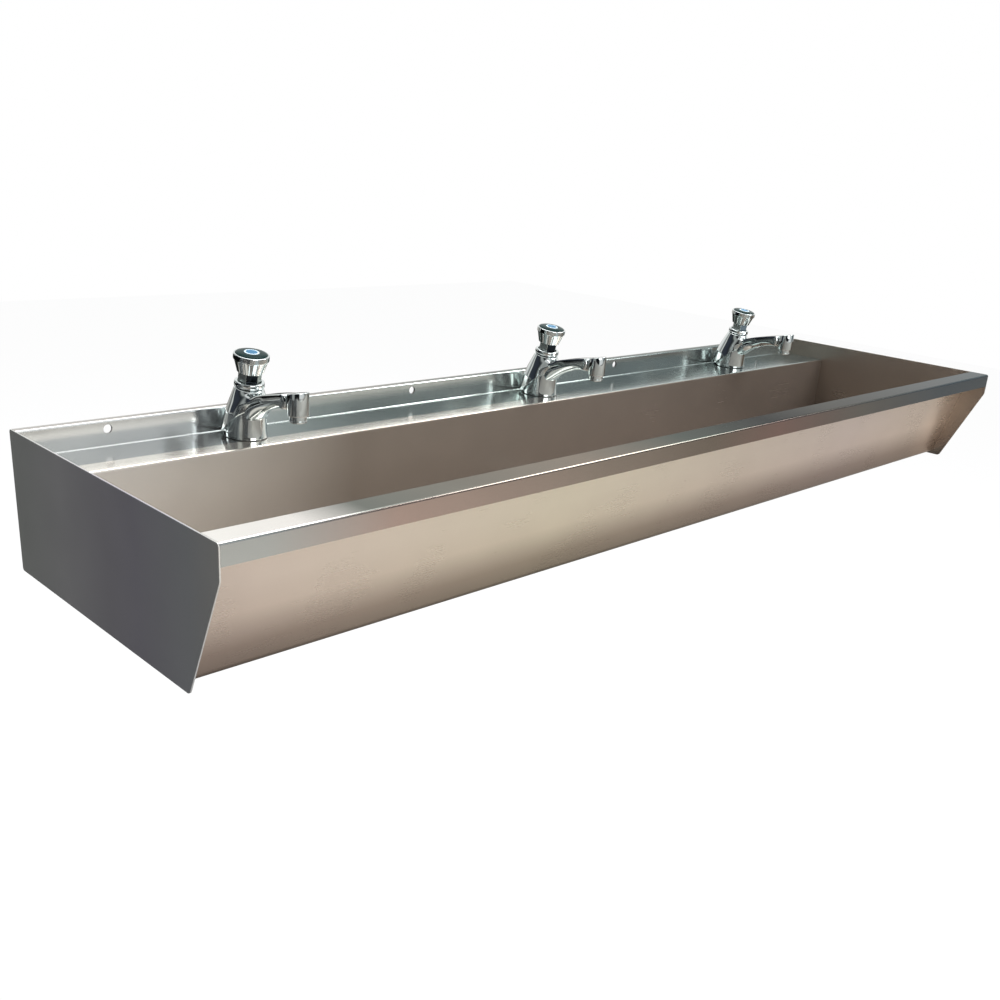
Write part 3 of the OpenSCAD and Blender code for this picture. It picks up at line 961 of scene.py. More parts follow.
@dataclass
class EndPanel:
    """A flat plate that closes one end.

    Fields: the end; height of the upright front edge; how far back the low edge starts; widths of
    the rounded corners, with their share at the two blunt ones; rounding of the thin edges.
    """

    side: Side
    front_height: float = 40.0
    foot: float = 68.0
    corner: float = 4.0
    foot_corner: float = 8.0
    blunt_share: float = 0.6
    edge_round: float = 0.35

    def build(self) -> bpy.types.Object:
        """Builds and dresses the panel."""
        near, far = sorted((self.side.value * INNER_X, self.side.value * HALF_LENGTH))
        name = self.side.name.lower()
        piece = add_block(f"end_panel_{name}_plate", (near, FRONT_Y, LOW_Z), (far, 0, TOP_Z))
        start = Vector((0, FRONT_Y, TOP_Z - self.front_height))
        end = Vector((0, FRONT_Y + self.foot, LOW_Z))
        along = (end - start).normalized()
        edit(piece)
        bpy.ops.mesh.select_all(action="SELECT")
        bpy.ops.mesh.bisect(
            plane_co=start * MM,
            plane_no=Vector((0, along.z, -along.y)),
            use_fill=True,
            clear_outer=True,
        )
        take(piece)
        corners = (
            (Vector((0, FRONT_Y, TOP_Z)), self.corner),
            (Vector((0, 0, TOP_Z)), self.corner),
            (Vector((0, 0, LOW_Z)), self.corner),
            (start, self.corner * self.blunt_share),
            (end, self.foot_corner * self.blunt_share),
        )
        edit(piece, "EDGE")
        for spot, width in corners:
            self._round_corner(spot, width)
        round_edges(piece, self.edge_round, 3, 60)
        smooth(piece, 30)
        for finish in (PANEL_OUTSIDE[self.side], PANEL_INSIDE[self.side]):
            piece.data.materials.append(finish.material())
        edit(piece, "FACE")
        pick_faces(lambda place, normal: normal.x * self.side.value < -FACING)
        dress_picked(piece, 1)
        take(piece)
        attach(piece, "sink")
        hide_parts(f"end_panel_{name}")
        LOG.info("end panel %s", name)
        return piece

    def _round_corner(self, spot: Vector, width: float) -> None:
        """Rounds the edge that runs along X through a spot of the outline."""
        bpy.ops.mesh.select_all(action="DESELECT")

        def at_spot(point: Vector) -> bool:
            return (Vector((0, point.y, point.z)) - spot).length < NEAR

        pick_edges(lambda a, b: at_spot(a) and at_spot(b))
        bpy.ops.mesh.bevel(offset=width * MM, segments=8, affect="EDGES")


# The taps
# Rings of the pedestal: forward distance of its front and rear, half width and height
PEDESTAL_RINGS = (
    (28.5, -38, 29, 1), (28.5, -38, 29, 4), (28, -36.5, 28, 16), (29, -34, 27, 32), (30, -27, 24.5, 46),
    (27, -18, 19, 60),
)
# Rings of the hood: the same, with heights at the front, each 30 degrees further and at the rear
HOOD_RINGS = (
    (30, -48.5, 33, (50, 43, 34.5, 13, 4, 2.5, 2)),
    (31, -45, 30.5, (54, 50.5, 43, 29, 23, 21, 20)),
    (32, -36, 27.5, (66, 63, 56, 47, 43, 42, 41)),
    (30, -27.5, 24, (67.5, 66, 61.5, 58.5, 57.5, 57, 57)),
)
# Rings of the hood round the leaning axis: radius and length along it
HOOD_NECK_RINGS = ((21.8, 70.5), (20.4, 75.6))
# Sections of the spout: forward distance, heights of its lower and upper edge, half width
SPOUT_SECTIONS = (
    (47.5, 59, 70.5, 14), (66, 64, 75, 14), (82, 67, 78.5, 14), (93, 67.5, 81, 14),
    (100, 65, 82.3, 14), (112, 60, 84.8, 14.2),
)
# Sections of the keel: forward distance, lower and upper height, half width above and below
KEEL_SECTIONS = (
    (8, 18, 46, 18, 17), (27, 28, 52, 20, 13), (40, 40, 58, 15, 7), (54, 48.5, 63.5, 12.8, 5),
    (68, 54, 68, 12.6, 4.6), (80, 58, 71, 12.6, 4.8), (96, 60.5, 70, 12.8, 6),
    (110, 59.5, 67, 12.8, 6.5),
)
# Outlines of turned pieces, as radius and height: the outlet over its own foot
OUTLET_PROFILE = (
    (0, 4.5), (7.5, 4.5), (7.5, 0.4), (8, 0), (11.2, 0), (12, 0.8), (12, 2.6), (11.6, 3), (12, 3.4),
    (12, 9), (9.3, 9), (9.3, 17), (0, 17),
)
# The collar over the ledge
COLLAR_PROFILE = (
    (16.6, 75), (20.2, 75), (20.7, 75.3), (21.1, 76), (20.7, 76.7), (20.4, 77), (20.4, 77.6),
    (20.7, 78.1), (20.7, 81.2), (20.3, 82.1), (19.4, 82.8), (18.4, 83), (17.2, 83), (16.6, 82.5),
)
# The index and its ring over the knob's top
INDEX_PROFILE = ((0, 1.8), (10.4, 1.8), (10.4, 2.3), (10.2, 2.5), (8, 2.55), (7.8, 2.45), (0, 2.45))


@dataclass
class PushTap:
    """A push tap, modelled at the middle of the trough and copied to its neighbours.

    Forward distances run from the tap's hole to the front, heights are above the ledge and lengths
    whose name ends in u run along the leaning axis. Angles are in degrees.
    """

    lean: float = 9.5
    axis_back: float = 7.5
    knob_low_u: float = 95.5
    knob_top_u: float = 121.5
    knob_r: float = 24.5
    knob_low_r: float = 18.0
    knob_wall: float = 1.5
    knob_chamfer: float = 0.4
    knob_hollow: float = 10.0
    knob_core_r: float = 15.0
    knob_core_depth: float = 5.0
    ring_height: float = 8.4
    ring_round: float = 1.4
    seat_r: float = 22.2
    seat_chamfer: float = 0.2
    seat_depth: float = 1.8
    flutes: int = 16
    flute_r: float = 2.8
    flute_depth: float = 0.7
    flute_stop: float = 2.9
    flute_overrun: float = 4.0
    disc_r: float = 22.0
    disc_chamfer: float = 0.3
    crown_width: float = 11.4
    crown_rise: float = 2.4
    crown_drop: float = 0.1
    index_seat_r: float = 10.6
    index_seat_rise: float = 1.7
    index_r: float = 7.95
    neck_low_u: float = 62.0
    neck_height: float = 37.0
    neck_flats: float = 28.0
    neck_turn: float = 8.0
    neck_round: float = 0.5
    reach: float = 123.0
    outlet_low: float = 48.0
    nose_forward: float = 123.5
    nose_r: float = 14.7
    nose_low: float = 57.0
    nose_height: float = 34.0
    nose_top: float = 87.0
    nose_fall: float = 26.0
    nose_round: float = 1.4
    root_forward: float = 18.0
    root_heights: Point2 = (52.0, 65.0)
    root_half: float = 12.0
    rib_forward: float = 26.0
    rib_half: float = 9.0
    rib_step: float = 3.0
    foot_crease: float = 0.9
    edge_crease: float = 0.85
    rib_crease: float = 0.75
    keel_bulge: float = 1.5
    keel_share: float = 0.95

    def at(self, forward: float, side: float, height: float) -> Point3:
        """A place in millimetres from a forward distance, a sideways one and a height."""
        return (side, TAP_Y - forward, LEDGE_Z + height)

    @property
    def foot(self) -> Point3:
        """The middle of the tap's hole, on the ledge."""
        return self.at(0, 0, 0)

    def leaning(self, piece: bpy.types.Object) -> bpy.types.Object:
        """Turns an upright piece into the tap's leaning axis."""
        edit(piece)
        bpy.ops.mesh.select_all(action="SELECT")
        bpy.ops.transform.rotate(
            value=-math.radians(self.lean), orient_axis="X", center_override=Vector(self.foot) * MM
        )
        bpy.ops.transform.translate(value=(0, self.axis_back * MM, 0))
        take(piece)
        return piece

    def build(self) -> None:
        """Builds all pieces, then copies them to the outer taps."""
        chrome = PolishFinish("tap_chrome", "#c6cccc").material()
        dark = LacquerFinish("disc_dark", "#0b2b2a", "#071f1e", 0.2, 0.05).material()
        makers: dict[str, tuple[Callable[[], bpy.types.Object], bpy.types.Material | None, str, str]] = {
            "tap_body": (self._body, chrome, "sink", "tap_chrome"),
            "tap_outlet": (self._outlet, chrome, "sink", "tap_chrome"),
            "tap_collar": (self._collar, chrome, "sink", "tap_chrome"),
            "tap_cartridge": (self._neck, None, "sink", "cartridge_chrome"),
            "tap_knob": (self._knob, chrome, "button", "knob_chrome"),
            "tap_disc": (self._disc, dark, "button", "disc_dark"),
            "tap_index": (self._index, None, "button", "index_blue"),
        }
        for name, (make, material, body, slot) in makers.items():
            middle = make()
            middle.name = f"{name}_middle_form"
            if material is not None:
                middle.data.materials.clear()
                middle.data.materials.append(material)
            copies = {
                "left": copy_along(middle, f"{name}_left_form", -TAP_PITCH),
                "middle": middle,
                "right": copy_along(middle, f"{name}_right_form", TAP_PITCH),
            }
            for spot, piece in copies.items():
                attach(piece, f"button_{spot}" if body == "button" else body)
                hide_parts(f"{name}_{spot}")
            LOG.info("%s: %d faces each", name, len(middle.data.polygons))

    def _oval(self, front: float, rear: float, half: float, heights: Sequence[float]) -> list[Point3]:
        """A ring of twelve points from the front round by the left.

        Args:
            front: Forward distance of the front point.
            rear: Forward distance of the rear point.
            half: Half the width.
            heights: Heights at the front, at 30, 60, 90, 120 and 150 degrees and at the rear.

        Returns:
            The ring in millimetres.
        """
        middle, reach = (front + rear) / 2, (front - rear) / 2
        ring = []
        for k in range(12):
            a = math.radians(30 * k)
            height = heights[min(k, 12 - k)]
            ring.append(self.at(middle + reach * math.cos(a), half * math.sin(a), height))
        return ring

    def _tilted(self, radius: float, u: float) -> list[Point3]:
        """A ring of twelve points round the leaning axis, at a length u along it."""
        lean = math.radians(self.lean)
        ring = []
        for k in range(12):
            a = math.radians(30 * k)
            out = radius * math.cos(a)
            forward = u * math.sin(lean) + out * math.cos(lean) - self.axis_back
            height = u * math.cos(lean) - out * math.sin(lean)
            ring.append(self.at(forward, radius * math.sin(a), height))
        return ring

    def _body(self) -> bpy.types.Object:
        """The casting: pedestal, hood with the spout, keel and nose."""
        body = join("body", self._pedestal(), self._hood(), self._keel(), self._nose())
        smooth(body, 40, weighted=False)
        return body

    def _pedestal(self) -> bpy.types.Object:
        """The casting's foot, with a crisp lower rim."""
        rings = [
            self._oval(front, rear, half, [height] * 7) for front, rear, half, height in PEDESTAL_RINGS
        ]
        pedestal = loft("pedestal", rings)
        rim_z = rings[1][0][2] + NEAR

        def at_rim(a: Vector, b: Vector) -> bool:
            return max(a.z, b.z) < rim_z and abs(a.z - b.z) < NEAR

        self._crease(pedestal, at_rim, self.foot_crease)
        apply_modifier(pedestal, "SUBSURF", levels=3)
        return pedestal

    def _nose(self) -> bpy.types.Object:
        """The round nose, cut off along the spout's slope."""
        foot = self.at(self.nose_forward, 0, self.nose_low)
        nose = add_rod("nose", foot, self.nose_r, self.nose_height, 96)
        edit(nose)
        bpy.ops.mesh.select_all(action="SELECT")
        slope = math.atan2(self.nose_fall, self.reach)
        bpy.ops.mesh.bisect(
            plane_co=Vector(self.at(self.reach, 0, self.nose_top)) * MM,
            plane_no=(0, math.sin(slope), math.cos(slope)),
            use_fill=True,
            clear_outer=True,
        )
        round_edges(nose, self.nose_round, 5, 50)
        return nose

    def _crease(
        self, piece: bpy.types.Object, test: Callable[[Vector, Vector], bool], value: float
    ) -> None:
        """Creases the edges that pass a test, for the subdivision that follows."""
        edit(piece, "EDGE")
        pick_edges(test)
        bpy.ops.transform.edge_crease(value=value)
        take(piece)

    def _hood(self) -> bpy.types.Object:
        """The upper form that runs from the collar into the spout."""
        rings = [self._oval(*ring) for ring in HOOD_RINGS]
        hood = loft("hood", rings + [self._tilted(*ring) for ring in HOOD_NECK_RINGS])
        low_z, high_z = (LEDGE_Z + height for height in self.root_heights)

        def at_root(place: Vector, normal: Vector) -> bool:
            return (
                place.y < TAP_Y - self.root_forward and low_z < place.z < high_z
                and normal.y < -FACING and abs(place.x) < self.root_half
            )

        edit(hood, "FACE")
        pick_faces(at_root)
        for forward, low, high, half in SPOUT_SECTIONS:
            self._draw_out(hood, forward, low, high, half)
        take(hood)
        self._crease(hood, self._on_rib, self.rib_crease)
        points = [Vector(p) for p in rings[0]]

        def at_edge(a: Vector, b: Vector) -> bool:
            return all(min((p - q).length for q in points) < NEAR for p in (a, b))

        self._crease(hood, at_edge, self.edge_crease)
        apply_modifier(hood, "SUBSURF", levels=3)
        return hood

    def _on_rib(self, a: Vector, b: Vector) -> bool:
        """Whether an edge runs along one of the spout's ribs."""
        return (
            max(a.y, b.y) < TAP_Y - self.rib_forward and min(abs(a.x), abs(b.x)) > self.rib_half
            and a.x * b.x > 0 and abs(a.y - b.y) > self.rib_step
        )

    def _draw_out(
        self, piece: bpy.types.Object, forward: float, low: float, high: float, half: float
    ) -> None:
        """Extrudes the selected faces to an upright section across the spout.

        Args:
            piece: The piece in edit mode.
            forward: Forward distance of the new section.
            low: Height of its lower edge.
            high: Height of its upper edge.
            half: Half its width.
        """
        chosen = extrude_in_place(piece)
        verts = bmesh.from_edit_mesh(piece.data).verts
        verts.ensure_lookup_table()
        middle = sum(verts[i].co.z for i in chosen) / len(chosen)
        targets = []
        for index in chosen:
            now = verts[index].co
            side = 0.0 if abs(now.x) < MM else math.copysign(half, now.x)
            targets.append(Vector(self.at(forward, side, high if now.z > middle else low)) * MM)
        for index, target in zip(chosen, targets):
            carry(piece, index, target)
        pick_again(piece, chosen)

    def _keel(self) -> bpy.types.Object:
        """The ridge under the spout, from the pedestal to the nose."""
        rings = []
        for forward, low, high, wide, narrow in KEEL_SECTIONS:
            middle = (low + high) / 2 + self.keel_bulge
            bulge = wide * self.keel_share
            rings.append(
                [
                    self.at(forward, wide, high), self.at(forward, bulge, middle),
                    self.at(forward, narrow, low), self.at(forward, -narrow, low),
                    self.at(forward, -bulge, middle), self.at(forward, -wide, high),
                ]
            )
        keel = loft("keel", rings)
        apply_modifier(keel, "SUBSURF", levels=3)
        return keel

    def _outlet(self) -> bpy.types.Object:
        """The flow outlet under the nose."""
        outlet = lathe("outlet", self.at(self.reach, 0, self.outlet_low), OUTLET_PROFILE)
        smooth(outlet, 35)
        return outlet

    def _collar(self) -> bpy.types.Object:
        """The chrome ring round the cartridge."""
        collar = lathe("collar", self.foot, COLLAR_PROFILE)
        smooth(collar, 50, weighted=False)
        return self.leaning(collar)

    def _neck(self) -> bpy.types.Object:
        """The cartridge's six-sided neck, with its front face painted dark as a painted reflection."""
        corner_r = self.neck_flats / 2 / math.cos(math.pi / 6)
        neck = add_rod("neck", self.at(0, 0, self.neck_low_u), corner_r, self.neck_height, 6)
        edit(neck)
        bpy.ops.mesh.select_all(action="SELECT")
        bpy.ops.transform.rotate(
            value=-math.radians(self.neck_turn), orient_axis="Z", center_override=Vector(self.foot) * MM
        )
        round_edges(neck, self.neck_round, 3, 40)
        smooth(neck, 35)
        neck.data.materials.append(PolishFinish("neck_chrome", "#b9c2be", 0.4).material())
        # The near-black colour of the front face is a painted reflection.
        neck.data.materials.append(PolishFinish("neck_front", "#2a2f33", 0.08).material())
        edit(neck, "FACE")
        pick_faces(lambda place, normal: normal.y < -SQUARELY)
        dress_picked(neck, 1)
        take(neck)
        return self.leaning(neck)

    def _knob(self) -> bpy.types.Object:
        """The fluted cone with its ring."""
        low, top, low_r = self.knob_low_u, self.knob_top_u, self.knob_low_r
        ring_low, bend, chamfer = top - self.ring_height, self.ring_round, self.knob_chamfer
        quarter = [math.radians(a) for a in range(0, 91, 15)]
        profile = [
            (low_r - self.knob_wall, low + chamfer),
            (low_r - self.knob_wall + chamfer, low),
            (low_r - chamfer, low),
            (low_r, low + chamfer),
            *((self.knob_r - bend * (1 - math.cos(a)), ring_low + bend * (1 - math.sin(a)))
              for a in reversed(quarter)),
            *((self.knob_r - bend * (1 - math.cos(a)), top - bend * (1 - math.sin(a))) for a in quarter),
            (self.seat_r + self.seat_chamfer, top),
            (self.seat_r, top - self.seat_chamfer),
            (self.seat_r, top - self.seat_depth),
            (0, top - self.seat_depth),
            (0, top - self.knob_core_depth),
            (self.knob_core_r, top - self.knob_core_depth),
            (low_r - self.knob_wall, low + self.knob_hollow),
        ]
        knob = lathe("knob", self.foot, profile, 128)
        cut(knob, self._flute_tool(ring_low))
        smooth(knob, 32)
        return self.leaning(knob)

    def _flute_tool(self, ring_low: float) -> bpy.types.Object:
        """Round-ended rods where the flutes go, each turned one step on from the last."""
        slope = math.atan2(self.knob_r - self.ring_round - self.knob_low_r, ring_low - self.knob_low_u)
        length = (ring_low - self.knob_low_u) / math.cos(slope) - self.flute_stop
        foot = Vector((self.knob_low_r + self.flute_r - self.flute_depth, 0, self.knob_low_u))
        tools = []
        for k in range(self.flutes):
            turn = Matrix.Rotation((k + 0.5) * math.tau / self.flutes, 3, "Z")
            lean = turn @ Matrix.Rotation(slope, 3, "Y")
            start = Vector(self.foot) + turn @ foot
            middle = Vector((0, 0, (length - self.flute_overrun) / 2))
            take()
            bpy.ops.mesh.primitive_cylinder_add(
                vertices=32,
                radius=self.flute_r * MM,
                depth=(length + self.flute_overrun) * MM,
                location=(start + lean @ middle) * MM,
                rotation=lean.to_euler(),
            )
            rod = bpy.context.object
            bpy.ops.mesh.primitive_uv_sphere_add(
                segments=32,
                ring_count=16,
                radius=self.flute_r * MM,
                location=(start + lean @ Vector((0, 0, length))) * MM,
                rotation=lean.to_euler(),
            )
            ball = bpy.context.object
            settle(rod)
            settle(ball)
            apply_modifier(rod, "BOOLEAN", operation="UNION", solver="EXACT", object=ball)
            take(ball)
            bpy.ops.object.delete()
            tools.append(rod)
        return join("flute_tool", *tools)

    def _disc(self) -> bpy.types.Object:
        """The dark crowned disc that closes the knob."""
        top, low = self.knob_top_u, self.knob_top_u - self.seat_depth
        crown = [math.radians(a) for a in range(20, 91, 10)]
        profile = [
            (0, low),
            (self.disc_r, low),
            (self.disc_r, top - self.disc_chamfer),
            (self.disc_r - self.disc_chamfer, top + self.disc_chamfer),
            *((self.disc_r - self.crown_width * (1 - math.cos(a)),
               top - self.crown_drop + self.crown_rise * math.sin(a)) for a in crown),
            (self.index_seat_r, top + self.index_seat_rise),
            (0, top + self.index_seat_rise),
        ]
        disc = lathe("disc", self.foot, profile)
        smooth(disc, 40)
        return self.leaning(disc)

    def _index(self) -> bpy.types.Object:
        """The blue index with its light ring."""
        index = lathe("index", self.foot, [(r, self.knob_top_u + rise) for r, rise in INDEX_PROFILE])
        smooth(index, 40)
        index.data.materials.append(LacquerFinish("index_blue", "#2c6b91", "#266285", 0.3, 0.1).material())
        index.data.materials.append(LacquerFinish("index_ring", "#cddfe9", "#c2d5e0", 0.3, 0.1).material())
        edit(index, "FACE")
        pick_faces(lambda place, normal: math.hypot(place.x, place.y - TAP_Y) > self.index_r)
        dress_picked(index, 1)
        take(index)
        return self.leaning(index)


# Hidden pieces
@dataclass(frozen=True)
class HiddenPieces:
    """The CAD pieces that are shown as they are, with a finish for each kind."""

    steel: PolishFinish = PolishFinish("fitting_steel", "#c3c2bf", 0.25, 0.12)
    rail: PolishFinish = PolishFinish("rail_steel", "#b1b2b2", 0.4, 0.1)
    brass: PolishFinish = PolishFinish("fitting_brass", "#b99a5e", 0.3, 0.12)
    rubber: LacquerFinish = LacquerFinish("fitting_rubber", "#1d1d1d", "#151515", 0.6)

    def dress(self) -> None:
        """Puts a procedural material in each slot of the pieces that are still shown."""
        kinds = {
            self.steel: ("waste_flange", "waste_grid", "waste_screw", "tap_spring"),
            self.rail: ("fixing_rail",),
            self.brass: ("waste_backnut", "tap_shank", "tap_backnut", "tap_spindle"),
            self.rubber: ("waste_seal", "waste_washer", "tap_seal", "tap_washer"),
        }
        for finish, starts in kinds.items():
            material = finish.material()
            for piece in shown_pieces():
                if piece.name.startswith(starts) and not piece.name.endswith("_form"):
                    if not piece.data.materials:
                        piece.data.materials.append(material)
                    for k in range(len(piece.data.materials)):
                        piece.data.materials[k] = material
        LOG.info("hidden pieces dressed")


# Studio
# Colours of the room for all but the camera, from the floor to the ceiling, and of its bright part
ROOM_DIM: Stops = (
    (0.0, "#5a5856"), (0.5, "#7c7c80"), (0.62, "#9da1a5"), (0.75, "#dcdee0"), (1.0, "#f8f8f8"),
)
ROOM_BRIGHT: Stops = ((0.0, "#8d8680"), (0.49, "#b9b6b2"), (0.53, "#f2f2f0"), (1.0, "#ffffff"))
# Colours of the mirrored room: its walls from -X round by the front, and its ceiling
ROOM_WALLS: Stops = (
    (0.0, "#b8bab8"), (0.044, "#a8aaa8"), (0.067, "#15181c"), (0.183, "#15181c"), (0.2, "#ffffff"),
    (0.29, "#ffffff"), (0.308, "#e9ebeb"), (0.33, "#f0f2f2"), (0.347, "#8b9295"), (0.352, "#3c454a"),
    (0.417, "#7c8a90"), (0.5, "#8a979c"), (0.545, "#ffffff"), (0.69, "#ffffff"), (0.73, "#8e9494"),
    (0.79, "#3a3f42"), (0.81, "#3a3f42"), (0.82, "#f4f4f0"), (0.835, "#f4f4f0"), (0.845, "#41464e"),
    (0.93, "#383c46"), (0.95, "#2e3236"), (0.975, "#55585a"), (1.0, "#b8bab8"),
)
ROOM_CEILING: Stops = ((0.5, "#ffffff"), (0.84, "#ffffff"), (0.88, "#2c3e3c"), (1.0, "#2c3e3c"))
# Colours of the floor for all but the camera, along the trough and back towards the wall
FLOOR_ALONG: Stops = ((0.0, "#4c4846"), (0.3, "#66625f"), (1.0, "#dcd6ce"))
FLOOR_BACK: Stops = ((0.0, "#ffffff"), (1.0, "#4a5050"))
WHITE = (1.0, 1.0, 1.0, 1.0)
PALE = (0.97, 0.97, 0.97, 1.0)


@dataclass(frozen=True)
class SoftBox:
    """A square soft light.

    Fields: name; place and the point it faces, in millimetres; side in metres; power in watts.
    """

    name: str
    place: Point3
    aim: Point3
    size: float
    power: float

    def add(self) -> None:
        """Adds the light."""
        take()
        bpy.ops.object.light_add(type="AREA", location=Vector(self.place) * MM)
        light = bpy.context.object
        light.name = self.name
        way = Vector(self.aim) - Vector(self.place)
        light.rotation_euler = way.to_track_quat("-Z", "Y").to_euler()
        light.data.shape = "SQUARE"
        light.data.size = self.size
        light.data.energy = self.power


@dataclass
class Studio:
    """Camera, floor, world and lights.

    Fields: the camera's place in millimetres, its right, down and forward ways, lens and sensor in
    millimetres, sight in metres and shift; height and side of the floor in millimetres, where its
    colours fade and how white the camera sees it; the way of the room's bright part, its soft edge
    and gain; where the mirrored walls end; the lights.
    """

    eye: Point3 = (-1384.13, -1350.62, 374.45)
    right: Point3 = (0.7065, -0.7045, 0.0679)
    down: Point3 = (-0.2002, -0.2909, -0.9356)
    forward: Point3 = (0.6788, 0.6474, -0.3465)
    lens: float = 38.26
    sensor: float = 36.0
    sight: float = 60.0
    shift: Point2 = (-0.0162, 0.0493)
    floor_z: float = -900.0
    floor_side: float = 14000.0
    floor_fade_x: Point2 = (-2000.0, -200.0)
    floor_fade_y: Point2 = (0.0, 500.0)
    floor_white: float = 0.85
    bright_way: Point2 = (0.72, 0.69)
    bright_edge: Point2 = (0.25, 0.8)
    bright_gain: float = 1.3
    walls_end: Point2 = (0.6, 0.72)
    lights: tuple[SoftBox, ...] = (
        SoftBox("key", (1500, -1100, 1500), (100, -400, -60), 1.1, 34),
        SoftBox("top", (0, 200, 2400), (0, -250, 0), 2.2, 52),
        SoftBox("front", (-800, -3000, 700), (0, -300, -60), 1.6, 40),
    )

    def build(self) -> None:
        """Builds the studio."""
        self._camera()
        self._floor()
        self._world()
        for light in self.lights:
            light.add()

    def _camera(self) -> None:
        """Puts the camera where the photograph was taken."""
        take()
        bpy.ops.object.camera_add(location=Vector(self.eye) * MM)
        camera = bpy.context.object
        camera.name = "photo_camera"
        turn = Matrix((self.right, [-v for v in self.down], [-v for v in self.forward])).transposed()
        camera.rotation_euler = turn.to_euler()
        camera.data.sensor_width = self.sensor
        camera.data.lens = self.lens
        camera.data.shift_x, camera.data.shift_y = self.shift
        camera.data.clip_end = self.sight
        bpy.context.scene.camera = camera

    def _floor(self) -> None:
        """A pale floor that the camera sees as white, with the object's shadow."""
        take()
        bpy.ops.mesh.primitive_plane_add(size=self.floor_side * MM, location=mm(0, 0, self.floor_z))
        floor = bpy.context.object
        floor.name = "floor"
        material, board = new_material("floor_paper")
        seen = board.node("ShaderNodeLightPath", output="Is Camera Ray")
        tone = board.tint(
            board.ramp(board.along(Axis.X, *self.floor_fade_x), FLOOR_ALONG),
            board.ramp(board.along(Axis.Y, *self.floor_fade_y), FLOOR_BACK),
        )
        paper = board.node("ShaderNodeBsdfDiffuse", {"Color": tone})
        pale = board.node("ShaderNodeBsdfDiffuse", {"Color": PALE})
        white = board.node("ShaderNodeEmission", {"Color": WHITE, "Strength": 1.0})
        shown = board.node("ShaderNodeMixShader", {0: self.floor_white, 1: pale, 2: white})
        both = board.node("ShaderNodeMixShader", {0: seen, 1: paper, 2: shown})
        board.node("ShaderNodeOutputMaterial", {"Surface": both})
        floor.data.materials.append(material)
        floor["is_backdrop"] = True

    def _world(self) -> None:
        """White for the camera, and a soft room for all else."""
        world = bpy.data.worlds.new("room")
        bpy.context.scene.world = world
        world.use_nodes = True
        board = Board(world.node_tree)
        way = board.node("ShaderNodeTexCoord", output="Generated")
        x, y, height = (board.node("ShaderNodeSeparateXYZ", {0: way}, k) for k in range(3))
        level = height * 0.5 + 0.5
        bright = board.scaled(board.ramp(level, ROOM_BRIGHT), self.bright_gain)
        part = (x * self.bright_way[0] + y * self.bright_way[1]).steps(*self.bright_edge)
        room = board.blend(part, board.ramp(level, ROOM_DIM), bright)
        turn = board.node("ShaderNodeMath", {0: y, 1: x}, operation="ARCTAN2") / math.tau + 0.5
        walls = board.blend(part, board.ramp(turn, ROOM_WALLS), bright)
        mirrored = board.blend(height.steps(*self.walls_end), walls, board.ramp(height, ROOM_CEILING))
        sky = board.blend(board.node("ShaderNodeLightPath", output="Is Glossy Ray"), room, mirrored)
        colour = board.blend(board.node("ShaderNodeLightPath", output="Is Camera Ray"), sky, WHITE)
        shader = board.node("ShaderNodeBackground", {"Color": colour, "Strength": 1.0})
        board.node("ShaderNodeOutputWorld", {"Surface": shader})


# Finishes of the trough. Their colour stops, along X and across each face, are painted light:
# painted reflections of the room that each face mirrors, and painted shade.

STEEL_INSIDE: dict[str, SteelFinish] = {
    "flange": SteelFinish(
        "steel_flange",
        (
            (0.03, "#9fa3a2"), (0.12, "#a08e86"), (0.3, "#8e847b"), (0.45, "#7a7168"), (0.55, "#85706a"),
            (0.7, "#75736f"), (0.88, "#61696f"), (0.97, "#646b70"),
        ),
        roughness=0.22,
        edge=0.6,
    ),
    # Painted reflection: the rim's stops run from near-white at the left end to dark grey in the middle,
    # the bright and dim parts of the room that it mirrors.
    "rim": SteelFinish(
        "steel_rim",
        (
            (0.0, "#fffdf8"), (0.055, "#fbf7f2"), (0.1, "#868983"), (0.3, "#a59a8e"), (0.42, "#6b726c"),
            (0.54, "#363837"), (0.64, "#5f5e59"), (0.88, "#6a7071"), (0.98, "#5c6b70"),
        ),
        roughness=0.2,
        edge=0.35,
    ),
    "front": SteelFinish("steel_front", ((0.0, "#e2dfda"), (1.0, "#d4d0ca")), metal=0.45),
    "floor": SteelFinish("steel_floor", ((0.0, "#c0b5ab"), (1.0, "#a89d93")), metal=0.7),
    "back": SteelFinish(
        "steel_back",
        (
            (0.03, "#d6d2cc"), (0.12, "#bdb8b0"), (0.25, "#867d74"), (0.6, "#80766e"), (0.98, "#7c726a"),
        ),
        metal=0.6,
    ),
    "ledge": SteelFinish(
        "steel_ledge",
        (
            (0.02, "#b4b6b5"), (0.13, "#b2b4b3"), (0.2, "#b4bcba"), (0.32, "#a0aaa7"), (0.6, "#9aa4a1"),
            (0.95, "#959f9c"),
        ),
        roughness=0.16,
        edge=1.0,
        # Painted highlight: a near-white field over the front strip of the ledge, whole left of x -250 and
        # gone at x 170.
        painted_highlight=PaintedHighlight("#fff8ee", (-250, 170), (-84, -80)),
    ),
    "upstand": SteelFinish(
        "steel_upstand",
        (
            (0.02, "#dcdedd"), (0.12, "#d9dcdd"), (0.26, "#d0d6d3"), (0.5, "#d2d8d5"), (0.65, "#acb3b2"),
            (0.95, "#bcc3c1"),
        ),
        roughness=0.14,
        edge=1.0,
    ),
    "return": SteelFinish(
        "steel_return",
        ((0.0, "#e6e3df"), (0.25, "#c8c5c0"), (0.5, "#9aa09c"), (0.85, "#8a9490"), (1.0, "#6a7a78")),
        roughness=0.2,
    ),
}
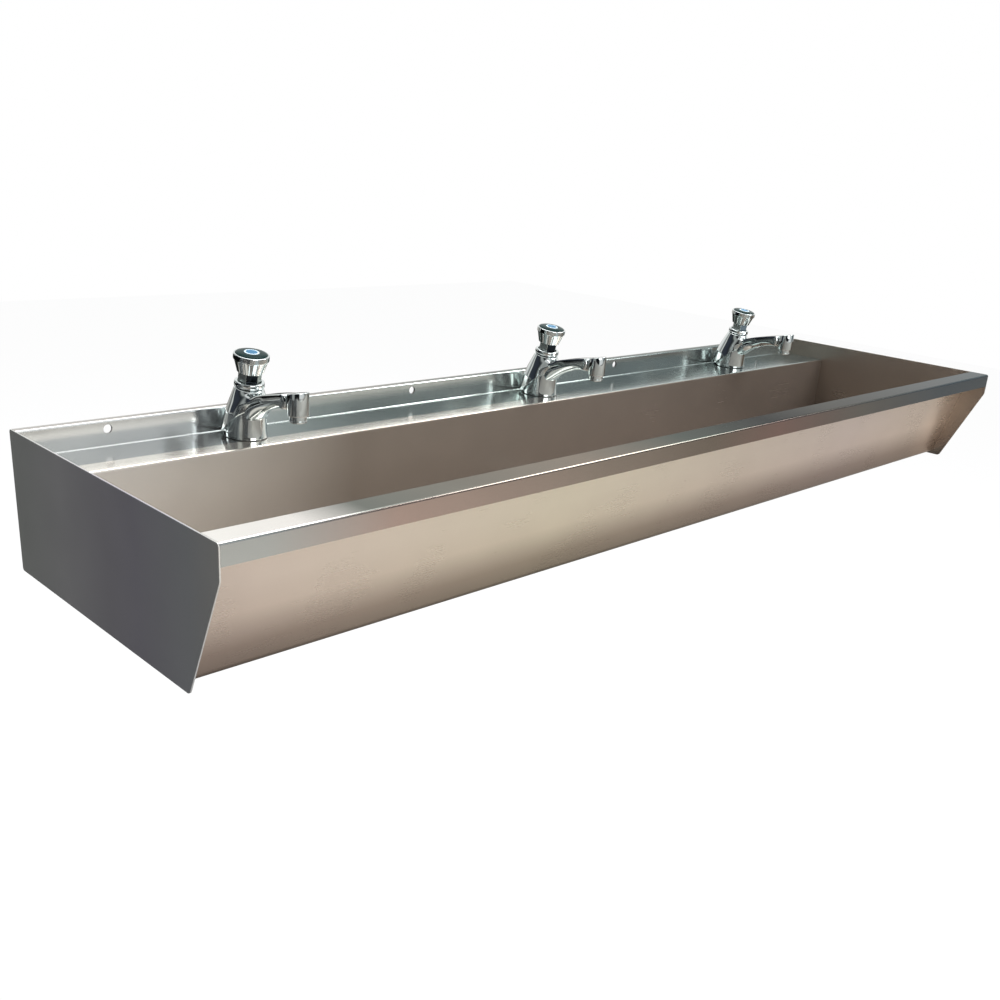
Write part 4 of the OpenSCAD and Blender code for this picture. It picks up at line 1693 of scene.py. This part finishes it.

# Painted light on the apron: the warm beige stops along X are a painted reflection of the room, lighter at
# the right end, and the stops across it are painted shade that darkens it towards the bottom.
APRON = SteelFinish(
    "steel_apron",
    (
        (0.03, "#bdb2aa"), (0.3, "#bdb7a8"), (0.55, "#bcb3aa"), (0.75, "#cbc0bb"), (0.92, "#ddd0c5"),
        (0.98, "#feebda"),
    ),
    across_ends=(-175.0, -20.0),
    across=((0.0, "#9d9997"), (0.2, "#bab4b2"), (0.5, "#faf8f7"), (0.75, "#ffffff"), (1.0, "#ffffff")),
    roughness=0.28,
)
UNDERSIDE = SteelFinish("steel_underside", ((0.0, "#8f8a85"), (1.0, "#7f7a76")), roughness=0.3)
STEEL_OUTSIDE: dict[str, SteelFinish] = {
    name: APRON if name == "front" else UNDERSIDE for name in STEEL_INSIDE
}

PANEL_OUTSIDE: dict[Side, SteelFinish] = {
    Side.LEFT: SteelFinish(
        "panel_left_outside", ((0.0, "#d2d1d2"),),
        across_axis=Axis.Y,
        across_ends=(FRONT_Y, 0.0),
        across=(
            (0.0, "#f6f6f0"), (0.12, "#e8ecee"), (0.35, "#e2e0ea"), (0.5, "#eae8ee"), (0.72, "#ffffff"),
            (1.0, "#fbfff8"),
        ),
        roughness=0.3,
        grain=Axis.Y,
        metal=0.5,
    ),
    Side.RIGHT: SteelFinish(
        "panel_right_outside", ((0.0, "#8d8f90"),),
        across_axis=Axis.Y,
        across_ends=(FRONT_Y, 0.0),
        across=((0.0, "#ffffff"), (1.0, "#dddddd")),
        roughness=0.24,
        grain=Axis.Y,
    ),
}
PANEL_INSIDE: dict[Side, SteelFinish] = {
    Side.LEFT: SteelFinish(
        "panel_left_inside", ((0.0, "#82868a"),),
        across_axis=Axis.Y,
        across_ends=(FRONT_Y, 0.0),
        across=((0.0, "#ffffff"), (1.0, "#e0e0e0")),
        grain=Axis.Y,
    ),
    Side.RIGHT: SteelFinish(
        "panel_right_inside", ((0.0, "#b5aa9f"),),
        across_axis=Axis.Y,
        across_ends=(FRONT_Y, 0.0),
        across=((0.0, "#ffffff"), (1.0, "#e8e8e8")),
        grain=Axis.Y,
    ),
}


def main() -> None:
    """Builds all sub-assemblies in order."""
    logging.basicConfig(level=logging.INFO, format="%(message)s")
    bpy.context.scene.view_settings.view_transform = "Standard"
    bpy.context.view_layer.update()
    TroughShell().build()
    for side in Side:
        EndPanel(side).build()
    PushTap().build()
    HiddenPieces().dress()
    Studio().build()


if __name__ == "__main__":
    main()
